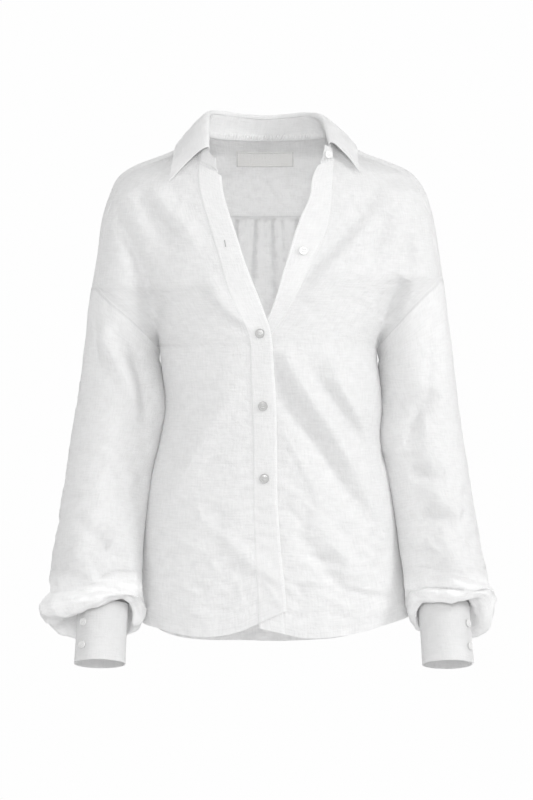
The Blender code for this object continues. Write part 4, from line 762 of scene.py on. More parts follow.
@dataclass(frozen=True)
class Relief:
    """All folds, gathers and crumples of one half of the shirt."""

    creases: tuple[Crease, ...]
    crumples: tuple[Crumple, ...]
    gathers: tuple[Pair, ...] = ()
    rough_least: float = 0.38
    rough_more: float = 0.72
    rough_drop: Pair = (330.0, 560.0)
    gather_width: float = 4.6
    gather_spread: float = 0.45
    gather_widen: float = 0.9
    spread_drop: Pair = (0.0, 150.0)
    widen_drop: Pair = (0.0, 110.0)
    gather_grow: Pair = (0.0, 6.0)
    gather_fade: Pair = (30.0, 190.0)

    def height(self, x: Array, z: Array) -> Array:
        """Height of the cloth over the plain form at x, z, in millimetres."""
        total = np.zeros(np.shape(x))
        for crease in self.creases:
            total = total + crease.relief(x, z)
        rough = sum(c.relief(x, z) for c in self.crumples)
        total = total + rough * self.roughness(z)
        if self.gathers:
            total = total + self.gather(x, z)
        return total

    def roughness(self, z: Array) -> Array:
        """How crumpled the cloth is: least on the chest, most towards the hem."""
        return self.rough_least + self.rough_more * step(-z, *self.rough_drop)

    def gather(self, x: Array, z: Array) -> Array:
        """Gathers below the back yoke seam, spreading and fading downwards."""
        drop = YOKE_BACK_Z - z
        spread = 1 + self.gather_spread * step(drop, *self.spread_drop)
        width = self.gather_width * (1 + self.gather_widen * step(drop, *self.widen_drop))
        size = step(drop, *self.gather_grow) * (1 - step(drop, *self.gather_fade))
        total = np.zeros(np.shape(x))
        for place, height in self.gathers:
            total = total + height * np.exp(-(((x - place * spread) / width) ** 2))
        return total * size


@dataclass(frozen=True)
class Sheet:
    """One thin closed shell of cloth over a grid of points on its outer face."""

    name: str
    grid: Array
    wall: float | Array
    flip: bool = False
    closed: bool = False
    # Rows and columns of the inner face with full painted shade, outer rows with painted shade and
    # columns with a painted highlight, all through the fold attribute.
    seam_rows: tuple[int, ...] = ()
    seam_columns: tuple[int, ...] = ()
    shaded_outer_rows: tuple[int, ...] = ()
    lit_columns: tuple[int, ...] = ()
    # Span and full depth of the crease measure that sets the painted shade and highlight, and its
    # share on the outer face.
    fold_span: int = 3
    fold_depth: float = 2.5
    outer_share: float = 0.35
    outer_row_shade: float = 2.5    # painted shade of the outer rows, darker than any valley
    lit: float = -4.0          # painted highlight of the lit columns, lighter than any ridge

    def normals(self) -> Array:
        """Unit normals that point out of the shirt."""
        normals = grid_normals(self.grid, self.closed)
        return -normals if self.flip else normals

    def inner(self) -> Array:
        """Points of the inner face."""
        return self.grid - self.normals() * np.asarray(self.wall)[..., None] * MM

    def _faces(self) -> tuple[Array, Array]:
        """Quads of both faces and the rim, and the grid places of their corners."""
        rows, columns = self.grid.shape[:2]
        span = columns if self.closed else columns - 1
        i, j = np.meshgrid(np.arange(rows - 1), np.arange(span), indexing="ij")
        i, j = i.ravel(), j.ravel()
        corner_i = np.stack([i, i, i + 1, i + 1], axis=1)
        corner_j = np.stack([j, j + 1, j + 1, j], axis=1)
        index = corner_i * columns + corner_j % columns
        count = rows * columns
        quads = [index, index[:, ::-1] + count]
        where = np.stack([corner_i, corner_j], axis=-1)
        places = [where, where[:, ::-1]]
        for edge_i, edge_j in self._rim(rows, columns, span):
            a = edge_i[:, 0] * columns + edge_j[:, 0] % columns
            b = edge_i[:, 1] * columns + edge_j[:, 1] % columns
            quads.append(np.stack([b, a, a + count, b + count], axis=1))
            where = np.stack([edge_i, edge_j], axis=-1)
            places.append(where[:, [1, 0, 0, 1]])
        return np.concatenate(quads), np.concatenate(places)

    def _rim(self, rows: int, columns: int, span: int) -> list[tuple[Array, Array]]:
        """Edges round the grid in the order of its quads."""
        j = np.arange(span)
        across = np.stack([j, j + 1], axis=1)
        sides = [(np.zeros_like(across), across),
                 (np.full_like(across, rows - 1), across[:, ::-1])]
        if not self.closed:
            i = np.arange(rows - 1)
            down = np.stack([i, i + 1], axis=1)
            sides.append((down[:, ::-1], np.zeros_like(down)))
            sides.append((down, np.full_like(down, columns - 1)))
        return sides

    def _fold_depth(self) -> Array:
        """How deep each point lies between its neighbours: 1 in a valley, -1 on a ridge."""
        span = self.fold_span
        tall = np.pad(self.grid, ((span, span), (0, 0), (0, 0)), mode="reflect",
                      reflect_type="odd")
        if self.closed:
            wide = np.concatenate([self.grid[:, -span:], self.grid, self.grid[:, :span]], axis=1)
        else:
            wide = np.pad(self.grid, ((0, 0), (span, span), (0, 0)), mode="reflect",
                          reflect_type="odd")
        down = (tall[2 * span:] + tall[:-2 * span]) / 2 - self.grid
        across = (wide[:, 2 * span:] + wide[:, :-2 * span]) / 2 - self.grid
        lift = ((down + across) * self.normals()).sum(axis=-1) / MM
        return np.clip(lift / self.fold_depth, -1, 1)

    def _cloth_places(self) -> Array:
        """Place of each grid point on the flat cloth, in metres."""
        grid = joined_up(self.grid) if self.closed else self.grid
        across = np.linalg.norm(np.diff(grid, axis=1), axis=-1).mean(axis=0)
        down = np.linalg.norm(np.diff(grid, axis=0), axis=-1).mean(axis=1)
        return np.stack(np.meshgrid(running(across), -running(down)), axis=-1)

    def build(self) -> Object:
        """Make the shell as a smooth mesh object with its cloth map."""
        points = np.concatenate([self.grid.reshape(-1, 3), self.inner().reshape(-1, 3)])
        faces, places = self._faces()
        if self.flip:
            faces, places = faces[:, ::-1], places[:, ::-1]
        cloth = self._cloth_places()
        uv = cloth[places[..., 0], places[..., 1]].reshape(-1, 2)
        made = mesh_object(self.name, points, faces, uv)
        # The fold attribute carries painted shade and highlight: darker in valleys, lighter on
        # ridges, painted shade lines on the outer rows and the inner seam rows and columns, a
        # painted highlight on the lit columns.
        deep = self._fold_depth()
        both = np.stack([deep * self.outer_share, -deep])
        both[0][list(self.shaded_outer_rows)] = self.outer_row_shade
        both[0][:, list(self.lit_columns)] = self.lit
        both[1][list(self.seam_rows)] = 1.0
        both[1][:, list(self.seam_columns)] = 1.0
        layer = made.data.attributes.new("fold", "FLOAT", "POINT")
        layer.data.foreach_set("value", both.astype(np.float32).ravel())
        return made


def mesh_object(name: str, points: Array, faces: Array, uv: Array | None = None,
                sharp_degrees: float = 50.0) -> Object:
    """Object from points and faces that all have the same number of corners.

    Args:
        name: Name of the object and its mesh.
        points: Points in metres.
        faces: Corner indices, one row a face.
        uv: Place on the cloth for each corner in turn.
        sharp_degrees: Edges that turn more than this stay sharp.

    Returns:
        The object, linked to the scene.
    """
    mesh = bpy.data.meshes.new(name)
    count, corners = faces.shape
    mesh.vertices.add(len(points))
    mesh.vertices.foreach_set("co", np.ascontiguousarray(points, np.float32).ravel())
    mesh.loops.add(count * corners)
    mesh.loops.foreach_set("vertex_index", np.ascontiguousarray(faces, np.int32).ravel())
    mesh.polygons.add(count)
    mesh.polygons.foreach_set("loop_start", np.arange(count, dtype=np.int32) * corners)
    mesh.update(calc_edges=True)
    if uv is not None:
        layer = mesh.uv_layers.new(name="cloth")
        layer.data.foreach_set("uv", np.ascontiguousarray(uv, np.float32).ravel())
    mesh.validate()
    mesh.shade_smooth()
    mesh.set_sharp_from_angle(angle=math.radians(sharp_degrees))
    made = bpy.data.objects.new(name, mesh)
    bpy.context.scene.collection.objects.link(made)
    return made


@dataclass(frozen=True)
class Thread:
    """Sewing thread laid as short stitches a little above the cloth."""

    length: float = 2.4
    gap: float = 0.8
    radius: float = 0.24
    lift: float = 0.12
    end_drop: float = 0.6      # how far the ends dip into the cloth, in radii

    def stitches(self, line: Array, normals: Array) -> tuple[Array, Array]:
        """Points and triangles of the stitches along one line.

        Args:
            line: Points of the seam in metres.
            normals: Outward direction at each point.

        Returns:
            Points in metres and triangles of all stitches.
        """
        steps = np.linalg.norm(np.diff(line, axis=0), axis=1)
        run = running(steps)
        pitch = (self.length + self.gap) * MM
        starts = np.arange(pitch / 2, run[-1] - pitch / 2, pitch)
        a, b = (between(place, run, line) for place in (starts, starts + self.length * MM))
        up = unit(between(starts + self.length * MM / 2, run, normals))
        way = unit(b - a)
        side = np.cross(way, up)
        centre = (a + b) / 2 + up * self.lift * MM
        ring = [centre + (side * math.cos(t) + up * math.sin(t)) * self.radius * MM
                for t in np.radians((0, 90, 180, 270))]
        low = -up * self.radius * MM * self.end_drop
        corners = np.stack([a + low, *ring, b + low], axis=1)
        shape = np.array([(0, 2, 1), (0, 3, 2), (0, 4, 3), (0, 1, 4),
                          (5, 1, 2), (5, 2, 3), (5, 3, 4), (5, 4, 1)])
        base = np.arange(len(starts))[:, None, None] * 6
        return corners.reshape(-1, 3), (shape[None] + base).reshape(-1, 3)


@dataclass
class Stitching:
    """All sewing lines of the shirt, kept until they are made as one piece."""

    thread: Thread = Thread()
    sharp_degrees: float = 80.0
    points: list[Array] = field(default_factory=list)
    faces: list[Array] = field(default_factory=list)

    def add(self, line: Array, normals: Array) -> None:
        """Lay stitches along a line of points on the cloth."""
        if len(line) < 2:
            return
        points, faces = self.thread.stitches(line, normals)
        base = sum(len(p) for p in self.points)
        self.points.append(points)
        self.faces.append(faces + base)

    def sew(self, sheet: Sheet, inset: float, *edges: Edge, inside: bool = False,
            first_row: int = 0) -> None:
        """Sew along edges of a sheet.

        Args:
            sheet: Sheet that is sewn.
            inset: Distance of the line from its edge in millimetres.
            edges: Edges, one line of stitches along each.
            inside: Whether the stitches show on the inner face.
            first_row: Row where the lines down the sheet start.
        """
        grid, normals = sheet.grid, sheet.normals()
        if inside:
            grid, normals = sheet.inner(), -normals
        if sheet.closed:
            grid, normals = joined_up(grid), joined_up(normals)
        for edge in edges:
            is_row, last = edge.value
            sides = [p.swapaxes(0, 1) if is_row else p[first_row:] for p in (grid, normals)]
            if last:
                sides = [p[:, ::-1] for p in sides]
            self._inset(*sides, inset * MM)

    def _inset(self, grid: Array, normals: Array, inset: float) -> None:
        """Sew along the line this far in from the first column of a grid."""
        steps = np.linalg.norm(np.diff(grid, axis=1), axis=-1)
        run = np.concatenate([np.zeros((len(grid), 1)), np.cumsum(steps, axis=1)], axis=1)
        line, up = [], []
        for i, row in enumerate(run):
            if row[-1] > inset:
                line.append(between(inset, row, grid[i]))
                up.append(between(inset, row, normals[i]))
        self.add(np.array(line), np.array(up))

    def build(self) -> Object:
        """Make all the stitches as one piece."""
        return mesh_object("stitching", np.concatenate(self.points),
                           np.concatenate(self.faces), None, self.sharp_degrees)


@dataclass(frozen=True)
class Seams:
    """Where the panels meet, as half widths and heights on the form."""

    extra_rows: int = 3
    armhole_front: Row = (-200.5, -214.0, -228.0, -243.0, -257.0, -267.5)
    armhole_back: Row = (-243.0, -257.0, -267.5)
    side_rows: int = 13
    side_gather: float = 1.25
    hole_clear: float = 6.0    # least drop from the armhole's top to the next row
    hole_long: float = 18.0    # drop above which one more row is added
    hole_extra: float = 11.5   # its height above the first of the others

    def shoulder(self, side: Side) -> list[Pair]:
        """Forward shoulder seam from the neck to the armhole."""
        seam = [FORM.front_seam_point(yoke_row(row)["ridge_" + side.value], side)
                for row in reversed(YOKE_SIDE)]
        top = ARMHOLE[side.value][0]
        seam[-1] = (top[1], top[0])
        return seam

    def shoulder_rows(self, side: Side) -> list[Pair]:
        """Row ends along the shoulder seam, with rows between its long steps."""
        seam = self.shoulder(side)
        rows = seam[:len(seam) - self.extra_rows]
        for last, end in zip(seam[-self.extra_rows - 1:-1], seam[-self.extra_rows:]):
            rows.append(((last[0] + end[0]) / 2, (last[1] + end[1]) / 2))
            rows.append(end)
        return rows

    def front_hole(self, side: Side) -> list[Pair]:
        """Armhole seam on the front, top to bottom, without both ends."""
        rows = np.asarray(ARMHOLE[side.value], float)[::-1]
        top = ARMHOLE[side.value][0][0]
        heights = [z for z in self.armhole_front if z < top - self.hole_clear]
        if top > self.armhole_front[0] + self.hole_long:
            heights.insert(0, self.armhole_front[0] + self.hole_extra)
        return [(float(np.interp(z, rows[:, 0], rows[:, 1])), z) for z in heights]

    def back_hole(self, side: Side) -> list[Pair]:
        """Armhole seam on the back, from the yoke's end down to the underarm."""
        end = yoke_row(YOKE_SIDE[0])
        rows = np.asarray(ARMHOLE[side.value], float)[::-1]
        offset = end["back_" + side.value] - np.interp(end["back_z"], rows[:, 0], rows[:, 1])
        seam = []
        for z in self.armhole_back:
            share = (z - UNDERARM_Z) / (end["back_z"] - UNDERARM_Z)
            x = float(np.interp(z, rows[:, 0], rows[:, 1]) + offset * share)
            seam.append((x, z))
        return seam

    def side_heights(self) -> Array:
        """Heights of the rows from the underarm to the hem."""
        share = np.linspace(0, 1, self.side_rows + 1) ** self.side_gather
        return UNDERARM_Z + (HEM_LEVEL - UNDERARM_Z) * share


def yoke_row(row: Row) -> dict[str, float]:
    """Named values of one side column of the yoke."""
    return dict(zip(YOKE_COLUMNS, row))


def hem_height(x: Array | float, which: str) -> Array:
    """Height of the bottom edge of a panel at x."""
    rows = np.asarray(HEMS[which], float)
    return smooth(x, rows[:, 0], rows[:, 1])


def hem_shift(x: Array, z: Array, which: str) -> Array:
    """How far a point of a row moves up or down to follow the hem."""
    share = np.clip((HEM_BLEND - z) / (HEM_BLEND - HEM_LEVEL), 0, 1)
    return share * (hem_height(x, which) - HEM_LEVEL)


SEAMS = Seams()


@dataclass(frozen=True)
class Lap:
    """Lift of the lapped middle of one front, fading out sideways."""

    side: Side
    top: Pair = (-245.0, -200.0)
    fade: Pair = (5.0, 60.0)
    over: float = 1.6
    under: float = -1.3

    def lift(self, x: Array, z: Array) -> Array:
        """Lift at x, z in millimetres."""
        start = falling(PLACKETS[self.side.value]["seam"], z)
        gap = self.side.sign * (np.asarray(x, float) - start)
        low = 1 - step(z, *self.top)
        most = self.over if self.side is Side.RIGHT else self.under
        return most * low * (1 - step(np.maximum(gap, 0), *self.fade))


@dataclass(frozen=True)
class FrontPattern:
    """Coarse rows of one front and its placket."""

    side: Side
    columns: int = 13
    squeeze: float = 0.28
    corner_share: float = 0.12
    corner_row: int = 3
    splits: Row = (0.0, 0.2, 0.4, 0.6, 0.8, 1.0)
    slant: Pair = (-110.0, -25.0)

    def rows(self) -> list[Triple]:
        """Start x, end x and height of each row, top to bottom."""
        seam = PLACKETS[self.side.value]["seam"]
        rows = [(float(falling(seam, z)), self.side.sign * half, z)
                for half, z in SEAMS.shoulder_rows(self.side) + SEAMS.front_hole(self.side)]
        for z in SEAMS.side_heights():
            end = self.side.sign * float(FORM.half(z, self.side))
            rows.append((float(falling(seam, z)), end, float(z)))
        return rows

    def front(self) -> Array:
        """Rows of points of the front panel."""
        lap = Lap(self.side)
        t = np.linspace(0, 1, self.columns)
        shares = 1 - (1 - t) * (1 - self.squeeze * t)
        grid = []
        for a, b, z in self.rows():
            row = FORM.run(a, b, z, shares, Face.FRONT)
            x = row[:, 0] / MM
            row[:, 1] -= lap.lift(x, np.full_like(x, z)) * MM
            grid.append(self._follow_hem(row, lap))
        self._straighten(grid)
        corner = grid[0][-1]
        grid[0] = corner + (grid[1] - corner) * self.corner_share
        return np.array(grid)

    def _straighten(self, grid: list[Array]) -> None:
        """Put the ends of the rows between on the line to their neighbours."""
        first = len(YOKE_SIDE) - SEAMS.extra_rows
        for i in range(first, first + 2 * SEAMS.extra_rows, 2):
            grid[i][-1] = (grid[i - 1][-1] + grid[i + 1][-1]) / 2

    def _follow_hem(self, row: Array, lap: Lap) -> Array:
        """Move a low row towards the curved hem."""
        x, z = row[:, 0] / MM, row[:, 2] / MM
        if z[0] > HEM_BLEND:
            return row
        new_z = z + hem_shift(x, z, self.side.value)
        new_x = x * (FORM.half(new_z, self.side) / FORM.half(z, self.side))
        return FORM.point(new_x, new_z, Face.FRONT, lap.lift(new_x, new_z))

    def placket(self, front: Array) -> Array:
        """Rows of the placket, sharing its seam points with the front panel."""
        return np.array([self._placket_line(row[0]) for row in front[self.corner_row:]])

    def _placket_line(self, shared: Array) -> Array:
        """One row across the placket, slanting to follow its top and its hem."""
        start, _y, z = shared / MM
        table = PLACKETS[self.side.value]
        (x0, z0), (x1, z1) = table["top"]
        slant = step(z, *self.slant)
        end = falling(table["edge"], z + slant * (z1 - z0))
        x = start + (end - start) * np.asarray(self.splits)
        heights = z + slant * (z1 - z0) / (x1 - x0) * (x - start)
        hem = self.side.value
        low = np.clip((z - HEM_BLEND) / (hem_height(start, hem) - HEM_BLEND), 0, 1)
        heights = heights + low * (hem_height(x, hem) - hem_height(start, hem))
        line = FORM.point(x, heights, Face.FRONT, Lap(self.side).lift(x, heights))
        line[0] = shared
        return line


@dataclass(frozen=True)
class BackPattern:
    """Coarse rows of the back panel and columns of the yoke."""

    side_places: Row = (100.0, 118.0, 135.0)
    top_index: int = 7
    steps: Row = (-1.0, -0.5, 0.0, 0.2, 0.4, 0.6, 0.8, 1.0)
    neck_steps: Row = (-1.0, 0.0, 0.36, 0.53, 0.67, 0.79, 0.90, 1.0)
    middle_steps: Row = (0.0, 0.1376, 0.317, 0.45, 0.59, 0.73, 0.865, 1.0)
    neck_columns: int = 3

    def back(self) -> Array:
        """Rows of points of the back, from the right side to the left."""
        top = [row[2] for row in YOKE_MIDDLE[::-1]] + list(self.side_places)
        shares = np.asarray(top) / top[-1]
        grid = []
        for right, left, z in self._rows():
            near = FORM.run(0.0, right, z, shares, Face.BACK)[::-1]
            far = FORM.run(0.0, left, z, shares, Face.BACK)
            grid.append(self._hem(np.concatenate([near[:-1], far])))
        return np.array(grid)

    def _rows(self) -> list[Triple]:
        """Right end, left end and height of each row of the back."""
        rows = []
        for row in reversed(YOKE_SIDE[:self.top_index + 1]):
            named = yoke_row(row)
            rows.append((-named["back_right"], named["back_left"], named["back_z"]))
        for right, left in zip(SEAMS.back_hole(Side.RIGHT), SEAMS.back_hole(Side.LEFT)):
            rows.append((-right[0], left[0], right[1]))
        for z in SEAMS.side_heights():
            rows.append((-float(FORM.half(z, Side.RIGHT)), float(FORM.half(z, Side.LEFT)), z))
        return rows

    def _hem(self, row: Array) -> Array:
        """Lower a row of the back towards its curved hem."""
        x, z = row[:, 0] / MM, row[:, 2] / MM
        if z[0] > HEM_BLEND:
            return row
        new_z = z + hem_shift(x, z, "back")
        right = FORM.half(new_z, Side.RIGHT) / FORM.half(z, Side.RIGHT)
        left = FORM.half(new_z, Side.LEFT) / FORM.half(z, Side.LEFT)
        return FORM.point(x * np.where(x < 0, right, left), new_z, Face.BACK)

    def yoke(self, back: Array) -> Array:
        """Columns of the yoke from the right armhole to the left, as rows."""
        columns = range(len(YOKE_SIDE))
        right = [self._side_column(i, Side.RIGHT) for i in columns]
        right += [self._middle_column(row, Side.RIGHT) for row in YOKE_MIDDLE]
        left = [self._side_column(i, Side.LEFT) for i in columns]
        left += [self._middle_column(row, Side.LEFT) for row in YOKE_MIDDLE[:-1]]
        grid = np.array(right + left[::-1]).transpose(1, 0, 2)
        count = grid.shape[1]
        grid[-1, self.top_index:count - self.top_index] = back[0]
        for i in range(self.top_index):
            row = back[self.top_index - i]
            grid[-1, i] = row[0]
            grid[-1, count - 1 - i] = row[-1]
        return grid

    def _side_column(self, index: int, side: Side) -> list[Array]:
        """One side column, from the front seam over the ridge to the back."""
        away = len(YOKE_SIDE) - index
        near = max(0.0, 1 - (away - 1) / self.neck_columns)
        places = np.asarray(self.steps) * (1 - near) + np.asarray(self.neck_steps) * near
        named = yoke_row(YOKE_SIDE[index])
        top = named["ridge_" + side.value]
        ridge = (float(FORM.outer_edge(top, side)), top)
        front = FORM.front_seam_point(top, side)
        if index == 0:
            front = (ARMHOLE[side.value][0][1], ARMHOLE[side.value][0][0])
        back = (named["back_" + side.value], named["back_z"])
        line = []
        for place in places:
            face, end = (Face.FRONT, front) if place < 0 else (Face.BACK, back)
            q = place * place
            made = FORM.point(side.sign * (ridge[0] + (end[0] - ridge[0]) * q),
                              ridge[1] + (end[1] - ridge[1]) * q, face)
            if place == 0.0:
                made[1] = 0.0
            line.append(made)
        return line

    def _middle_column(self, row: Row, side: Side) -> list[Array]:
        """One column behind the neck, from the neck to the back seam."""
        neck_x, neck_z, back_x = row
        return [FORM.point(side.sign * (neck_x + (back_x - neck_x) * q),
                           neck_z + (YOKE_BACK_Z - neck_z) * q, Face.BACK)
                for q in self.middle_steps]


def dress(piece: Object, nodes: Sequence[str], material: Material) -> Object:
    """Fix a piece to the frame and give it its finish.

    Args:
        piece: The finished piece.
        nodes: Solids that it stands for.
        material: Its finish.

    Returns:
        The same piece.
    """
    piece.data.materials.clear()
    piece.data.materials.append(material)
    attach(piece, "root")
    if nodes:
        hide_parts(*nodes)
    LOG.info("%s: %d faces, %.4f square metres", piece.name, len(piece.data.polygons),
             sum(face.area for face in piece.data.polygons) / 2)
    return piece


@dataclass(frozen=True)
class Cloth:
    """Walls and folds shared by the panels of the shirt."""

    front: Relief
    back: Relief
    sleeve_front: Relief
    sleeve_back: Relief
    wall: float = 0.7
    band_wall: float = 1.3
    depths: Pair = (4.0, 45.0)  # distances from the side where folds grow

    def displace(self, grid: Array) -> Array:
        """Push the points of a body grid out and in where the folds run.

        Args:
            grid: Points in metres on the plain form.

        Returns:
            The moved points.
        """
        x, y, z = in_mm(grid)
        front = self.front.height(x, z)
        back = self.back.height(x, z)
        height = np.where(y < 0, front, back) * step(np.abs(y), *self.depths)
        moved = grid.copy()
        moved[..., 1] += np.where(y < 0, -1.0, 1.0) * height * MM
        return moved


@dataclass(frozen=True)
class RolledBand:
    """Smooth band turned up over the front of a sleeve, above its roll over the cuff."""

    side: Side
    height: float = 3.4
    edge: float = 1.8          # width of its rounded edges
    ends: Pair = (12.0, 4.0)   # length of its run-in and run-out
    over: Pair = (0.4, 0.6)    # past its upper and its lower line
    depths: Pair = (4.0, 14.0)     # distances from the side where it comes in
    up: Pair = (13.3, 16.5)    # rows over which the rim's lift grows
    down: Pair = (17.5, 20.0)  # rows over which it shrinks
    less: float = 0.6          # share that it loses there

    def cover(self, x: Array, depth: Array, z: Array) -> Array:
        """One on the smooth band turned up over the front of the sleeve, zero off it."""
        upper, lower = (np.asarray(edge, float) for edge in ROLL_BANDS[self.side.value])
        top = smooth(x, upper[:, 0], upper[:, 1])
        low = smooth(x, lower[:, 0], lower[:, 1])
        start, end = upper[0, 0], upper[-1, 0]
        run_in, run_out = self.ends
        inside = step(x, start, start + run_in) * (1 - step(x, end + run_out, end + run_in))
        size = 1 - step(z - top, -self.edge, self.over[0])
        size = size * step(z - low, -self.over[1], self.edge)
        return size * inside * step(-depth, *self.depths)

    def lift(self, row: Array, columns: int) -> Array:
        """How far the rim of the roll over the cuff rises round the arm."""
        table = np.asarray(ROLL_LIFTS[self.side.value], float)
        low = self.less * step(row, *self.down)
        size = step(row, *self.up) * (1 - low)
        return size * smooth(turns(columns), table[:, 0], table[:, 1])[None, :]


@dataclass(frozen=True)
class Pleats:
    """Gathers of the blouse over the cuff, unevenly spaced round it."""

    side: Side
    count: int = 13
    height: float = 2.6
    shift: float = 0.3         # most shift of a pleat, in pleats
    lean: float = 0.05
    widths: Pair = (0.10, 0.19)    # radians round the arm
    heights: Pair = (0.5, 1.4)     # shares of the height
    starts: Pair = (9.0, 13.0)     # rows where a pleat starts
    full: float = 15.0         # row where the pleats are full
    end: Pair = (18.0, 20.0)   # rows over which they shrink
    end_less: float = 0.75     # share that they lose there

    def relief(self, row: Array, columns: int) -> Array:
        """Height of the pleats on the rings and columns of the sleeve."""
        random = np.random.RandomState(PLEAT_SEEDS[self.side.value])
        angle = np.linspace(0, 2 * math.pi, columns, endpoint=False)
        total = np.zeros((len(row), columns))
        for k in range(self.count):
            shift = random.uniform(-self.shift, self.shift)
            centre = 2 * math.pi * (k + shift) / self.count
            lean = random.uniform(-self.lean, self.lean)
            width = random.uniform(*self.widths)
            height = self.height * random.uniform(*self.heights)
            start = random.uniform(*self.starts)
            gap = wrapped(angle - centre - lean * (row - self.full))
            less = self.end_less * step(row, *self.end)
            grow = step(row, start, self.full) * (1 - less)
            total += height * grow * np.exp(-((gap / width) ** 2))
        return total - total.mean(axis=1, keepdims=True)


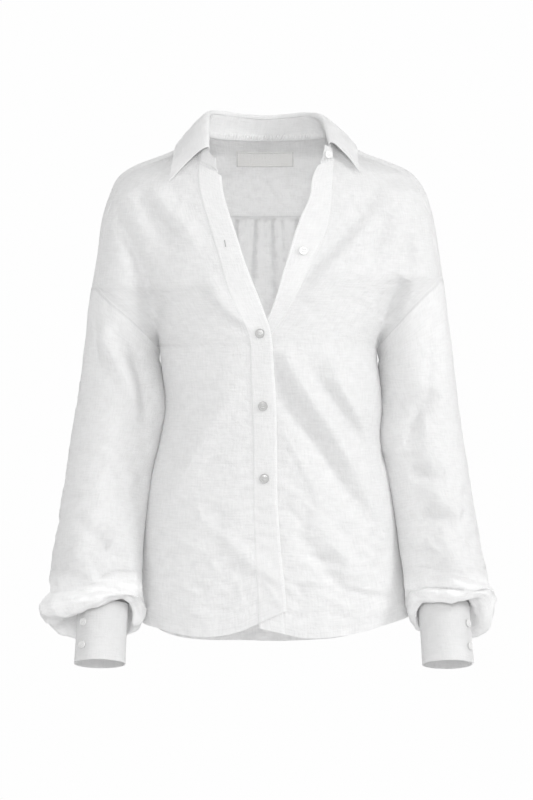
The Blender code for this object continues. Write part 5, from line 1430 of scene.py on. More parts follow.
@dataclass(frozen=True)
class Sleeve:
    """One bloused sleeve from the armhole to its cuff."""

    side: Side
    cloth: Cloth
    rows_fine: int = 9
    columns_fine: int = 5
    stitch_inset: float = 1.6
    top_shares: Row = (0.3, 0.62, 1.0)          # rings between the seam and top_end
    top_end: float = -312.0
    end_clear: float = 1.0                      # gap between the last ring and the cuff
    end_look: float = 24.0                      # degrees over which its size is evened
    end_down: float = 0.07                      # share of the cuff's height that it covers
    hug_heights: Row = (-287.0, -300.0, -600.0, -625.0)     # where it lies on the body
    hug_width: float = 0.75                     # radians round the arm that lie there
    hug_overlap: float = 0.5                    # how far it passes behind the body's side
    hug_most: float = 14.0                      # most that it is moved
    hug_gap: float = 0.1                        # gap that stays between it and the body
    sight: float = 0.059                        # run of a line of sight for each step back
    tuck_power: float = 1.25                    # 2 is round, 1 a straight slant
    tuck_forward: float = 18.0
    tuck_grow: float = 70.0                     # drop over which the tuck comes in
    own_rows: Pair = (0.0, 2.6)                 # rows where its own folds take over
    calm_rows: Pair = (17.0, 19.0)              # rows where they run out
    seam_lift: float = 0.8
    seam_rows: Row = (0.0, 0.12, 0.8, 2.0)      # rise and fall of the lift at the seam
    facing: float = 26.0                        # distance from the side to the full folds
    round_share: float = 0.8                    # how fast the crumples run round the arm
    rough: float = 1.15                         # gain of the crumples
    band_smooth: float = 0.8                    # what the turned-up band takes from it
    band_calm: float = 0.6                      # share of the pleats that the band takes

    def seam(self, front: Array, yoke: Array, back: Array) -> Array:
        """Armhole seam as one loop: underarm, up the front, over, down the back."""
        shoulder = len(YOKE_SIDE) + SEAMS.extra_rows
        holes = len(SEAMS.front_hole(self.side))
        front_part = front[shoulder - 1:shoulder + holes + 1, -1][::-1]
        right = self.side is Side.RIGHT
        column = yoke[1:, 0] if right else yoke[1:, -1]
        start = BackPattern().top_index + 1
        back_part = back[start:start + len(SEAMS.armhole_back), 0 if right else -1]
        return np.concatenate([front_part, column, back_part])

    def _arm(self, z: Array, ahead: Array) -> tuple[Array, Array, Array]:
        """Middle, half width and depth of the arm, the front's depth where ahead is true."""
        outer, inner, front, back = (FORM.arm(z, self.side, name)
                                     for name in ("outer", "inner", "front", "back"))
        return (outer + inner) / 2, (outer - inner) / 2, np.where(ahead, front, back)

    def _arm_ring(self, z: Array, angle: Array) -> Array:
        """Points of the upper sleeve at heights and angles round the arm."""
        middle, half, deep = self._arm(z, np.sin(angle) < 0)
        x = middle + half * np.cos(angle)
        return np.stack([self.side.sign * x, deep * np.sin(angle), z], axis=-1)

    def _ring(self, row: Row, angle: Array) -> Array:
        """Ring of the lower sleeve from a row of its table."""
        r = dict(zip(SLEEVE_COLUMNS, row))
        tilt = math.radians(r["tilt"])
        deep = np.where(np.sin(angle) < 0, r["front"], r["back"]) * np.sin(angle)
        x = (r["outer"] + r["inner"]) / 2 + (r["outer"] - r["inner"]) / 2 * np.cos(angle)
        y = r["middle"] + deep * math.cos(tilt)
        return np.stack([self.side.sign * x, y, r["z"] - deep * math.sin(tilt)], axis=-1)

    def _seam_angle(self, ring: Array) -> Array:
        """Angle round the arm of each point of the armhole seam."""
        x, y, z = ring.T
        middle, half, deep = self._arm(z, y < 0)
        angle = np.arctan2(y / deep, (np.abs(x) - middle) / half)
        angle[0] = math.pi
        return np.unwrap(angle)

    def coarse(self, seam: Array) -> Array:
        """Coarse rings of the sleeve, down to the top of the cuff."""
        ring = seam / MM
        swept = self._seam_angle(ring)
        even = math.pi + turns(len(swept))
        rows = [ring]
        miss = ring - self._arm_ring(ring[:, 2], swept)
        for share in self.top_shares:
            z = ring[:, 2] + (self.top_end - ring[:, 2]) * share
            turn = swept + (even - swept) * share
            rows.append(self._arm_ring(z, turn) + miss * (1 - share) ** 2)
        rows += [self._ring(row, even) for row in SLEEVES[self.side.value]]
        rows.append(self._cuff_ring(even))
        return np.array(rows) * MM

    def _cuff_ring(self, turn: Array) -> Array:
        """Last ring, close round the top of the cuff."""
        cuff = Cuff(self.side)
        angle = np.arctan2(self.side.sign * np.cos(turn), -np.sin(turn))
        back = cuff.turn * (cuff.lap_end - np.degrees(angle)) % 360.0
        spread = [cuff.spread(cuff.sweep - (back + look) % 360.0)
                  for look in (-self.end_look, 0.0, self.end_look)]
        return cuff.frame(self.end_down, angle, np.max(spread, axis=0) + self.end_clear)

    def grid(self, seam: Array) -> Array:
        """Fine rings with folds, pleats and the body's folds by the armhole."""
        fine = refine(self.coarse(seam), self.rows_fine, self.columns_fine, True)
        rows, columns = fine.shape[:2]
        row = np.linspace(0, (rows - 1) / self.rows_fine, rows)[:, None]
        away = step(row, *self.own_rows) * np.ones((1, columns))
        shared = self.cloth.displace(fine)
        normals = grid_normals(fine, True) * (1.0 if self.side is Side.RIGHT else -1.0)
        x, y, z = in_mm(fine)
        middle = y.mean(axis=1, keepdims=True)
        facing = step(np.abs(y - middle), 0, self.facing)
        spread = x + self.round_share * y
        front = self.cloth.sleeve_front
        back = self.cloth.sleeve_back
        rough = sum(c.relief(spread, z) for c in front.crumples) * front.roughness(z)
        folds = np.where(y < middle, sum(c.relief(x, z) for c in front.creases),
                         sum(c.relief(x, z) for c in back.creases)) * facing
        calm = 1 - step(row, *self.calm_rows)
        roll = RolledBand(self.side)
        band = roll.cover(x, y - middle, z)
        seam_lift = self.seam_lift * step(row, *self.seam_rows[:2])
        seam_lift = seam_lift * (1 - step(row, *self.seam_rows[2:]))
        rough = rough * (self.rough - self.band_smooth * band)
        height = (rough + folds + roll.height * band) * calm
        pleats = Pleats(self.side).relief(row, columns)
        height = height + pleats * (1 - self.band_calm * band)
        shared = shared + normals * (seam_lift * MM * np.ones_like(x))[..., None]
        own = fine + normals * (height * MM)[..., None]
        own[..., 2] += roll.lift(row, columns) * MM
        joined = shared * (1 - away[..., None]) + own * away[..., None]
        return self._hug(self._tucked(joined))

    def _tucked(self, grid: Array) -> Array:
        """Run the front of the sleeve flatter towards the body, to tuck in behind its side."""
        half = grid.shape[1] // 2
        inner, outer = grid[:, :1], grid[:, half:half + 1]
        middle = (inner + outer) / 2
        wide = np.abs(inner[..., 0] - middle[..., 0])
        deep = middle[..., 1] - grid[..., 1].min(axis=1, keepdims=True)
        across = self.side.sign * (middle[..., 0] - grid[..., 0]) / wide
        ahead = (middle[..., 1] - grid[..., 1]) / deep
        radius = np.hypot(across, ahead)
        a, b = np.clip(across, 0, None) / radius, np.clip(ahead, 0, None) / radius
        both = np.maximum(a**self.tuck_power + b**self.tuck_power, 1e-9)
        flat = both ** (-1 / self.tuck_power)
        full, low, end = self.hug_heights[1:]
        z = inner[..., 2] / MM
        size = step(-z, -full, -full + self.tuck_grow) * (1 - step(-z, -low, -end))
        share = 1 + size * np.where((across > 0) & (ahead > 0), flat - 1, 0)
        made = grid.copy()
        made[..., :2] = middle[..., :2] + (grid[..., :2] - middle[..., :2]) * share[..., None]
        made[..., 1] -= self.tuck_forward * MM * size * np.clip(across, 0, 1) ** 2
        return made

    def _hug(self, grid: Array) -> Array:
        """Lay the inner side of the sleeve against the side of the body."""
        sign = self.side.sign
        x, y, z = in_mm(grid)
        x = sign * x
        turn = wrapped(turns(grid.shape[1]))
        high, full, low, end = self.hug_heights
        size = step(-z[:, :1], -high, -full) * (1 - step(-z[:, :1], -low, -end))
        side_x = FORM.half(z[:, :1], self.side) + self.sight * y[:, :1] - self.hug_overlap
        near = np.clip(x[:, :1] - side_x, 0, self.hug_most)
        moved = x - near * size * np.exp(-((turn / self.hug_width) ** 2))
        deep = np.where(y < 0, FORM.size(z, "front"), FORM.size(z, "back"))
        body = FORM.half(z, self.side) * FORM.rounded(np.abs(y) / deep, z) + self.hug_gap
        made = grid.copy()
        made[..., 0] = sign * np.where(size > 0, np.maximum(moved, np.minimum(body, x)), x) * MM
        return made

    def build(self, seam: Array, finish: Material, stitching: Stitching) -> Object:
        """Make the sleeve and sew it round the armhole."""
        flip = self.side is Side.LEFT
        node = "sleeve_" + self.side.value
        # Row 1, by the armhole seam, gets a painted shade line.
        sheet = Sheet(node + "_cloth", self.grid(seam), self.cloth.wall, flip, True,
                      shaded_outer_rows=(1,))
        piece = dress(sheet.build(), [node], finish)
        stitching.sew(sheet, self.stitch_inset, Edge.TOP)
        return piece


@dataclass(frozen=True)
class Cuff:
    """One buttoned cuff, a band whose lapped end lies over its first end."""

    side: Side
    tilt: float = 17.0
    lap: float = 34.0
    rise: float = 2.65         # extra radius of the lapped end
    climb: Pair = (75.0, 70.0)   # start before the lap and length, degrees
    wall: float = 1.5
    waist: float = 0.5
    uneven: float = 0.8
    bumps_round: float = 1.6
    bumps_start: float = 3.3
    bumps_down: float = 0.9
    seed: int = 31
    rows_fine: int = 26
    columns_fine: int = 150
    stitch_inset: float = 5.0

    def _size(self, name: str) -> object:
        """Named size of this cuff."""
        return CUFFS[self.side.value][name]

    @property
    def turn(self) -> float:
        """Direction in which the band runs round."""
        return float(self._size("turn"))

    @property
    def lap_end(self) -> float:
        """Angle of the lapped end from the front, in degrees."""
        return float(self._size("lap_end"))

    @property
    def sweep(self) -> float:
        """Whole angle of the band."""
        return 360.0 + self.lap

    def frame(self, down: Array | float, angle: Array, spread: Array | float) -> Array:
        """Point of the cuff: share down its height, angle, extra radius."""
        s = self.side.sign
        top = np.array(self._size("top")) * (s, 1, 1)
        bottom = np.array(self._size("bottom")) * (s, 1, 1)
        centre = top + (bottom - top) * down
        tilt = math.radians(self.tilt)
        deep = -(self._size("deep") + spread) * np.cos(angle)
        x = centre[0] + (self._size("wide") + spread) * np.sin(angle)
        return np.stack([x, centre[1] + deep * math.cos(tilt),
                         centre[2] - deep * math.sin(tilt)], axis=-1)

    def spread(self, turn: Array) -> Array:
        """Extra radius, which rises before the band laps over its first end."""
        low = self.sweep - self.lap - self.climb[0]
        return self.rise * step(turn, low, low + self.climb[1])

    def grid(self) -> Array:
        """Fine rows of the band, slightly waisted and uneven."""
        turn = np.linspace(0.0, self.sweep, self.columns_fine)
        angle = np.radians(self.lap_end + self.turn * (turn - self.sweep))
        rows = []
        for down in np.linspace(0, 1, self.rows_fine):
            bumps = value_noise(angle * self.bumps_round + self.bumps_start,
                                np.full_like(angle, down * self.bumps_down), self.seed)
            waist = -self.waist * math.sin(math.pi * down)
            rows.append(self.frame(down, angle,
                                   self.spread(turn) + self.uneven * bumps + waist))
        return np.array(rows) * MM

    def build(self, finish: Material, stitching: Stitching) -> Object:
        """Make the cuff and its topstitching."""
        name = "cuff_" + self.side.value
        sheet = Sheet(name + "_cloth", self.grid(), self.wall, self.turn > 0)
        piece = dress(sheet.build(), [name], finish)
        stitching.sew(sheet, self.stitch_inset, Edge.BOTTOM, Edge.TOP, Edge.END)
        return piece


@dataclass(frozen=True)
class Collar:
    """The stand sewn to the neck and the fall that turns over it."""

    fall_share: float = 0.86
    fall_columns: int = 150
    fall_rows: int = 44
    roll_drop: float = 4.5         # from the roll line down to the top of the stand
    roll_rise: float = 16.0        # pull of the curve upwards at its start
    roll_out: float = 3.0          # its pull outwards
    roll_over: float = 5.0         # and upwards over the roll
    roll_share: float = 0.45       # where that pull acts between roll and edge
    stand_bulge: float = 1.5
    stand_fine: tuple[int, int] = (12, 11)
    pucker_pitch: float = 4.4
    pucker_height: float = 1.8
    pucker_size: float = 11.0                   # size of the patches of uneven puckers
    pucker_turn: float = 1.6
    pucker_place: Pair = (0.84, 0.085)   # share down the stand, width
    pucker_shares: Row = (0.75, 0.6, 0.4)
    soft_size: float = 13.0
    soft_height: float = 0.7
    fall_power: float = 1.25
    fall_start: float = 0.05
    fall_wall: float = 0.15                     # share of the wall left at the roll's foot
    fall_thicken: Pair = (0.0, 0.25)
    wave_sizes: Row = (26.0, 23.0, 19.0)
    noise_downs: Pair = (0.5, 1.3)              # bumps down the stand
    seeds: tuple[int, int, int] = (41, 43, 77)
    wave_height: float = 0.8
    seam_wall: float = 0.9
    seam_shares: Pair = (0.89, 0.93)
    wall: float = 1.3
    seam_inset: float = 2.2
    end_inset: float = 2.5
    inner_inset: float = 2.0
    stitch_inset: float = 5.5

    def neck(self, plackets: dict[Side, Array], fronts: dict[Side, Array], yoke: Array) -> Array:
        """Neck seam from the end of the right stand round the back to the left."""
        steps = len(YOKE_SIDE)
        corner = FrontPattern(Side.RIGHT).corner_row
        behind = yoke[0, steps - 1:yoke.shape[1] - steps + 1]
        right = fronts[Side.RIGHT][1:corner, 0][::-1]
        left = fronts[Side.LEFT][1:corner, 0]
        ends = {side: plackets[side][0, (0, 2, 4), :] for side in SIDES}
        return np.concatenate([ends[Side.RIGHT][::-1], right, behind, left, ends[Side.LEFT]])

    def _line(self, share: Array, name: str) -> Array:
        """Roll line or outer edge at shares of the neck seam, in metres."""
        rows = np.asarray(COLLAR, float)
        if name == "edge":
            rows = rows[1:-1]
        columns = [COLLAR_COLUMNS.index(f"{name}_{axis}") for axis in "xyz"]
        return np.stack([smooth(share, rows[:, 0], rows[:, c]) for c in columns], axis=-1) * MM

    def _outward(self, line: Array) -> Array:
        """Level direction away from the inside of the neck along a line."""
        along = np.gradient(line, axis=0)
        side = np.stack([-along[:, 1], along[:, 0], np.zeros(len(line))], axis=-1)
        return unit(side)

    def stand(self, neck: Array) -> Array:
        """Fine rows of the stand, top to bottom, on the neck seam."""
        run = running(np.linalg.norm(np.diff(neck, axis=0), axis=1))
        share = run / run[-1] * 2 - 1
        top = self._line(share, "roll")
        top[:, 2] -= self.roll_drop * MM
        middle = (top + neck) / 2 + self._outward(neck) * self.stand_bulge * MM
        return self._puckered(refine(np.array([top, middle, neck]), *self.stand_fine))

    def _puckered(self, grid: Array) -> Array:
        """Stand with the puckers of its neck seam and soft waves above them."""
        steps = np.linalg.norm(np.diff(grid[-1], axis=0), axis=1) / MM
        run = running(steps)[None, :]
        down = np.linspace(0, 1, len(grid))[:, None]
        uneven = value_noise(run / self.pucker_size, down * self.noise_downs[0],
                             self.seeds[0])
        ridge = np.sin(2 * math.pi * run / self.pucker_pitch + self.pucker_turn * uneven)
        place, width = self.pucker_place
        low = np.exp(-(((down - place) / width) ** 2))
        soft = value_noise(run / self.soft_size, down * self.noise_downs[1], self.seeds[1])
        soft = soft * np.sin(math.pi * down)
        plain, swing, more = self.pucker_shares
        height = (self.pucker_height * low * (plain + ridge * (swing + more * uneven))
                  + self.soft_height * soft)
        return grid - grid_normals(grid) * (height * MM)[..., None]

    def fall(self) -> Array:
        """Fine rows of the fall, from the stand over the roll to its outer edge."""
        share = np.linspace(-self.fall_share, self.fall_share, self.fall_columns)
        roll = self._line(share, "roll")
        edge = self._line(share, "edge")
        away = self._outward(roll)
        upward = np.array([0.0, 0.0, MM])
        start = (roll - upward * (self.roll_drop - self.fall_start)
                 - away * self.wall * MM)
        up = start + upward * self.roll_rise
        over = roll + (edge - roll) * self.roll_share
        over = over + away * self.roll_out * MM + upward * self.roll_over
        rows = []
        for t in np.linspace(0, 1, self.fall_rows) ** self.fall_power:
            a = (1 - t) ** 3 * start + 3 * t * (1 - t) ** 2 * up
            rows.append(a + 3 * t * t * (1 - t) * over + t**3 * edge)
        return self._wavy(np.array(rows))

    def _wavy(self, grid: Array) -> Array:
        """Soft unevenness of the pressed fall."""
        x, y, z = in_mm(grid)
        wide, deep, high = self.wave_sizes
        wave = value_noise(x / wide, z / high + y / deep, self.seeds[2]) * self.wave_height
        return grid - grid_normals(grid) * (wave * MM)[..., None]

    def build(self, neck: Array, finish: Material, stitching: Stitching) -> list[Object]:
        """Make the stand and the fall with their topstitching."""
        grid = self.stand(neck)
        wall = self.wall + self.seam_wall * step(self._shares(grid), *self.seam_shares)
        # Two rows by the neck seam on the inner face get a painted shade line.
        stand = Sheet("collar_stand_cloth", grid, wall, seam_rows=(-2, -3))
        piece = dress(stand.build(), ["collar_stand"], finish)
        stitching.sew(stand, self.seam_inset, Edge.BOTTOM)
        stitching.sew(stand, self.end_inset, Edge.START, Edge.END)
        stitching.sew(stand, self.inner_inset, Edge.BOTTOM, inside=True)
        grid = self.fall()
        thick = self.fall_wall + (1 - self.fall_wall) * step(self._shares(grid),
                                                             *self.fall_thicken)
        fall = Sheet("collar_fall_cloth", grid, self.wall * thick, True)
        turned = dress(fall.build(), ["collar_fall"], finish)
        stitching.sew(fall, self.stitch_inset, Edge.BOTTOM, Edge.START, Edge.END)
        return [piece, turned]

    def _shares(self, grid: Array) -> Array:
        """Share down the rows at each point of a grid."""
        return np.linspace(0, 1, len(grid))[:, None] * np.ones((1, grid.shape[1]))


@dataclass(frozen=True)
class Label:
    """Blank woven label inside the back of the neck."""

    left: float = -41.7
    right: float = 38.8
    top: float = 3.8
    bottom: float = -15.3
    gap: float = 0.9
    wall: float = 0.6
    edge_wall: float = 0.4
    edge: Pair = (1.6, 2.6)
    wave_size: float = 30.0
    wave_height: float = 0.25
    seed: int = 12
    columns: int = 90
    rows: int = 24
    stitch_inset: float = 1.6

    def build(self, cloth: Cloth, finish: Material, stitching: Stitching) -> Object:
        """Make the label on the inner face of the yoke."""
        x, z = np.meshgrid(np.linspace(self.left, self.right, self.columns),
                           np.linspace(self.top, self.bottom, self.rows))
        depth = FORM.depth(x, z, Face.BACK) - cloth.wall - self.gap
        z = z + self.wave_height * value_noise(x / self.wave_size, z / self.wave_size,
                                               self.seed)
        outer = np.stack([x, depth, z], axis=-1) * MM
        edge = np.minimum(np.minimum(x - self.left, self.right - x),
                          np.minimum(self.top - z, z - self.bottom))
        wall = self.wall + self.edge_wall * (1 - step(edge, *self.edge))
        # Rows and columns next to its edges on the inner face get a painted shade outline.
        sheet = Sheet("label_cloth", outer, wall, seam_rows=(1, -2), seam_columns=(1, -2))
        piece = dress(sheet.build(), ["label"], finish)
        stitching.sew(sheet, self.stitch_inset, Edge.START, Edge.END, inside=True)
        return piece


@dataclass(frozen=True)
class Button:
    """Round button with a raised rim, a dished middle and four sewn holes."""

    node: str
    radius: float
    thick: float = 2.2
    segments: int = 48
    dished: float = 0.74
    plate_height: float = 0.74
    hole_place: float = 0.50
    hole_radius: float = 0.105
    hole_segments: int = 12
    holes: int = 4
    rim: tuple[Pair, ...] = (
        (0.78, 0.70), (0.83, 0.92), (0.90, 1.0), (0.96, 0.92), (1.0, 0.6), (0.98, 0.25),
        (0.92, 0.0))           # shares of the radius and the thickness
    surface_reach: float = 7.0     # how far from the solid the cloth is looked for
    surface_share: float = 0.9     # share of its points that end below the button
    lift: float = 0.25             # gap between that place and the button
    strand: float = 0.18           # radius of one strand of thread
    strand_place: float = 0.24     # from the middle of a pair of holes
    strand_sides: int = 6
    strand_path: tuple[Pair, ...] = (
        (-1.0, -0.7), (-0.86, 0.12), (0.0, 0.3), (0.86, 0.12), (1.0, -0.7))

    def _circle(self, radius: float, count: int, turn: float = 0.0) -> list[Pair]:
        """Points of a circle."""
        angles = [2 * math.pi * i / count + turn for i in range(count)]
        return [(radius * math.cos(a), radius * math.sin(a)) for a in angles]

    def _plate(self) -> tuple[list[Pair], list[Row], list[int]]:
        """Flat triangles of the dished middle round its four holes."""
        loops = [self._circle(self.radius * self.dished, self.segments)]
        centres = self._circle(self.hole_place * self.radius * self.dished, self.holes,
                               math.pi / 4)
        for cx, cy in centres:
            hole = self._circle(self.hole_radius * self.radius, self.hole_segments)
            loops.append([(x + cx, y + cy) for x, y in hole])
        places = [p for loop in loops for p in loop]
        edges = []
        start = 0
        for loop in loops:
            edges += [(start + i, start + (i + 1) % len(loop)) for i in range(len(loop))]
            start += len(loop)
        found = delaunay_2d_cdt([Vector(p) for p in places], edges, [], 0, 1e-9)
        limit = self.hole_radius * self.radius
        faces = []
        for face in found[2]:
            middle = sum((found[0][i] for i in face), Vector((0, 0))) / 3
            if all((middle - Vector(c)).length > limit * 0.96 for c in centres):
                faces.append(tuple(face))
        return [tuple(v) for v in found[0]], faces, [len(loop) for loop in loops]

    def _shape(self) -> tuple[Array, list[Row]]:
        """Points in millimetres and triangles of the button, facing +Z."""
        flat, plate, sizes = self._plate()
        count = len(flat)
        high = self.thick * self.plate_height
        places = [(x, y, high) for x, y in flat] + [(x, y, 0.0) for x, y in flat]
        faces = list(plate) + [tuple(i + count for i in reversed(f)) for f in plate]
        start = sizes[0]
        for n in sizes[1:]:
            for i in range(n):
                a, b = start + i, start + (i + 1) % n
                faces += [(a, b, b + count), (a, b + count, a + count)]
            start += n
        last = list(range(self.segments))
        for out, height in self.rim:
            ring = list(range(len(places), len(places) + self.segments))
            places += [(x, y, self.thick * height)
                       for x, y in self._circle(self.radius * out, self.segments)]
            faces += self._band(last, ring)
            last = ring
        faces += self._band(last, [i + count for i in range(self.segments)])
        return np.array(places), faces

    def _band(self, a: list[int], b: list[int]) -> list[Row]:
        """Triangles between two rings."""
        n = len(a)
        faces = []
        for i in range(n):
            k = (i + 1) % n
            faces += [(a[i], b[i], b[k]), (a[i], b[k], a[k])]
        return faces

    def place(self) -> tuple[Array, Array]:
        """Middle of the solid's back and its outward direction, in metres."""
        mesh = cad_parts[self.node].data
        points = np.empty(len(mesh.vertices) * 3)
        mesh.vertices.foreach_get("co", points)
        points = points.reshape(-1, 3)
        middle = points.mean(axis=0)
        axis = np.linalg.svd(points - middle)[2][2]
        if axis[1] > 0:
            axis = -axis
        low = ((points - middle) @ axis).min()
        return middle + axis * low, axis

    def build(self, surface: Array, finish: Material, thread: Material) -> list[Object]:
        """Make the button on the cloth it is sewn to, with its thread."""
        base, axis = self.place()
        gap = surface.reshape(-1, 3) - base
        along = gap @ axis
        across = np.linalg.norm(gap - along[:, None] * axis, axis=1)
        near = (across < self.radius * MM) & (np.abs(along) < self.surface_reach * MM)
        if near.any():
            base = base + axis * (np.quantile(along[near], self.surface_share)
                                  + self.lift * MM)
        turn = np.array(Vector((0, 0, 1)).rotation_difference(Vector(axis)).to_matrix())
        points, faces = self._shape()
        points = points * MM @ turn.T + base
        body = mesh_object(self.node + "_detail", points, np.array(faces), None, 35.0)
        dress(body, [self.node], finish)
        sewn = self._threads(turn, base)
        dress(sewn, [], thread)
        return [body, sewn]

    def _threads(self, turn: Array, base: Array) -> Object:
        """Two pairs of thread strands across the holes."""
        high = self.thick * self.plate_height
        away = self.hole_place * self.radius * self.dished / math.sqrt(2)
        n, thin = self.strand_sides, self.strand
        points, faces = [], []
        for y in (side * away + shift * self.strand_place
                  for side in (-1, 1) for shift in (-1, 1)):
            start = len(points)
            for share, lift in self.strand_path:
                points += [(share * away, y + thin * math.cos(t), high + lift + thin * math.sin(t))
                           for t in np.radians(np.arange(n) * (360 / n))]
            rings = [list(range(start + i * n, start + (i + 1) * n))
                     for i in range(len(self.strand_path))]
            for a, b in zip(rings[:-1], rings[1:]):
                faces += self._band(a, b)
            for loop in (rings[0], rings[-1][::-1]):
                faces += [(loop[0], loop[j], loop[j + 1]) for j in range(1, n - 1)]
        points = np.array(points) * MM @ turn.T + base
        return mesh_object(self.node + "_thread", points, np.array(faces), None, 60.0)


class Graph:
    """Small helper that adds and links shader nodes."""

    def __init__(self, name: str) -> None:
        """Make a material with an empty node tree but for its Principled shader."""
        self.material = bpy.data.materials.new(name)
        self.material.use_nodes = True
        self.tree = self.material.node_tree
        self.shader = self.tree.nodes["Principled BSDF"]
        self.output = self.tree.nodes["Material Output"]

    def node(self, kind: str, **values: object) -> bpy.types.Node:
        """Add a node and set its named inputs and properties."""
        made = self.tree.nodes.new(kind)
        for name, value in values.items():
            label = name.replace("_", " ").title()
            if label in made.inputs:
                made.inputs[label].default_value = value
            else:
                setattr(made, name, value)
        return made

    def link(self, start: Socket, end: Socket) -> None:
        """Join two sockets."""
        self.tree.links.new(start, end)

    def math(self, operation: str, first: object, second: object = 0.0) -> Socket:
        """Result of a math node on two sockets or numbers."""
        made = self.tree.nodes.new("ShaderNodeMath")
        made.operation = operation
        for socket, value in zip(made.inputs, (first, second)):
            if isinstance(value, Socket):
                self.link(value, socket)
            else:
                socket.default_value = value
        return made.outputs[0]

    def swing(self, value: Socket, middle: float, gain: float) -> Socket:
        """How far a value lies from its middle, times gain."""
        return self.math("MULTIPLY", self.math("SUBTRACT", value, middle), gain)

    def tint(self, color: Triple, factor: Socket) -> Socket:
        """Colour made lighter or darker by a factor."""
        scale = self.node("ShaderNodeVectorMath", operation="SCALE")
        scale.inputs[0].default_value = color
        self.link(factor, scale.inputs["Scale"])
        self.link(scale.outputs[0], self.shader.inputs["Base Color"])
        return scale.outputs[0]

    def noise(self, vector: Socket, scale: Triple, detail: float = 2.0) -> Socket:
        """Noise on a vector stretched by scale."""
        mapping = self.node("ShaderNodeMapping", scale=scale)
        self.link(vector, mapping.inputs["Vector"])
        made = self.node("ShaderNodeTexNoise", scale=1.0, detail=detail)
        self.link(mapping.outputs[0], made.inputs["Vector"])
        return made.outputs["Fac"]


@dataclass(frozen=True)
class LinenFinish:
    """Plain-woven linen with slubs in both directions."""

    name: str = "linen"
    color: Triple = (0.94, 0.94, 0.94)
    roughness: float = 0.85
    sheen: float = 1.0
    thread_pitch: float = 0.0011
    slub_long: float = 70.0
    slub_thin: float = 480.0
    slub_tone: float = 0.062
    blotch: float = 75.0
    # Painted shade in the valleys of the fold attribute, per unit of it.
    crease_shade: float = 0.05
    bump: float = 0.7
    bump_distance: float = 0.001
    pucker: float = 0.9
    pucker_distance: float = 0.002
    through: float = 0.34
    doubled: float = 0.0       # height below which the cloth lies double, 0 for none
    doubled_through: float = 0.08
    doubled_edge: float = 0.02
    slub_gain: float = 2.2
    patch_gain: float = 1.6
    # Share of that painted shade given back as a painted highlight on ridges and lit columns.
    ridge_highlight: float = -0.25
    weave_share: float = 0.12
    broad_pucker: Triple = (70.0, 100.0, 1.0)
    small_pucker: Triple = (240.0, 190.0, 1.0)
    small_share: float = 0.35
    rough_swing: float = 0.12
    sheen_roughness: float = 0.35
    specular: float = 0.25

    def build(self) -> Material:
        """Make the material."""
        g = Graph(self.name)
        cloth = g.node("ShaderNodeUVMap", uv_map="cloth").outputs[0]
        weft = g.noise(cloth, (self.slub_long, self.slub_thin, 1.0))
        warp = g.noise(cloth, (self.slub_thin, self.slub_long, 1.0))
        slubs = g.math("ADD", weft, warp)
        mottle = g.noise(cloth, (self.blotch, self.blotch, 1.0), 4.0)
        color = self._tone(g, slubs, mottle)
        self._bumps(g, cloth, slubs)
        self._surface(g, mottle, color)
        return g.material

    def _tone(self, g: Graph, slubs: Socket, mottle: Socket) -> Socket:
        """Colour that varies a little with the slubs and the patches, with painted shade in the
        folds' valleys and a painted highlight on their ridges.
        """
        swing = g.swing(slubs, 1.0, self.slub_tone * self.slub_gain)
        patch = g.swing(mottle, 0.5, self.slub_tone * self.patch_gain)
        fold = g.node("ShaderNodeAttribute", attribute_name="fold").outputs["Fac"]
        # Painted shade in the valleys, painted highlight on the ridges and lit columns.
        valley = g.math("MULTIPLY", g.math("MAXIMUM", fold, 0.0), -self.crease_shade)
        ridge = g.math("MULTIPLY", g.math("MINIMUM", fold, 0.0), self.ridge_highlight * self.crease_shade)
        factor = g.math("ADD", g.math("ADD", swing, patch), g.math("ADD", valley, ridge))
        return g.tint(self.color, g.math("ADD", factor, 1.0))

    def _bumps(self, g: Graph, cloth: Socket, slubs: Socket) -> None:
        """Threads, slubs and a fine pucker as bump."""
        split = g.node("ShaderNodeSeparateXYZ")
        g.link(cloth, split.inputs[0])
        pitch = 2 * math.pi / self.thread_pitch
        waves = [g.math("SINE", g.math("MULTIPLY", split.outputs[k], pitch)) for k in (0, 1)]
        weave = g.math("MULTIPLY", waves[0], waves[1])
        height = g.math("ADD", g.math("MULTIPLY", weave, self.weave_share), slubs)
        fine = g.node("ShaderNodeBump", strength=self.bump, distance=self.bump_distance)
        g.link(height, fine.inputs["Height"])
        pucker = g.math("ADD", g.noise(cloth, self.broad_pucker, 3.0),
                        g.math("MULTIPLY", g.noise(cloth, self.small_pucker),
                               self.small_share))
        broad = g.node("ShaderNodeBump", strength=self.pucker, distance=self.pucker_distance)
        g.link(pucker, broad.inputs["Height"])
        g.link(fine.outputs[0], broad.inputs["Normal"])
        g.link(broad.outputs[0], g.shader.inputs["Normal"])

    def _surface(self, g: Graph, mottle: Socket, color: Socket) -> None:
        """Roughness, sheen and the light that comes through the cloth."""
        spread = g.swing(mottle, 0.5, self.rough_swing)
        g.link(g.math("ADD", spread, self.roughness), g.shader.inputs["Roughness"])
        for name, value in (("Sheen Weight", self.sheen),
                            ("Sheen Roughness", self.sheen_roughness),
                            ("Specular IOR Level", self.specular)):
            g.shader.inputs[name].default_value = value
        glow = g.node("ShaderNodeBsdfTranslucent")
        g.link(color, glow.inputs["Color"])
        mix = g.node("ShaderNodeMixShader")
        mix.inputs[0].default_value = self.through
        if self.doubled:
            self._thicken(g, mix)
        g.link(g.shader.outputs[0], mix.inputs[1])
        g.link(glow.outputs[0], mix.inputs[2])
        g.link(mix.outputs[0], g.output.inputs[0])

    def _thicken(self, g: Graph, mix: bpy.types.Node) -> None:
        """Let less light through below the height where the cloth lies double."""
        split = g.node("ShaderNodeSeparateXYZ")
        g.link(g.node("ShaderNodeTexCoord").outputs["Object"], split.inputs[0])
        grow = g.node("ShaderNodeMapRange", from_min=self.doubled - self.doubled_edge,
                      from_max=self.doubled, to_min=self.doubled_through,
                      to_max=self.through)
        g.link(split.outputs[2], grow.inputs["Value"])
        g.link(grow.outputs[0], mix.inputs[0])


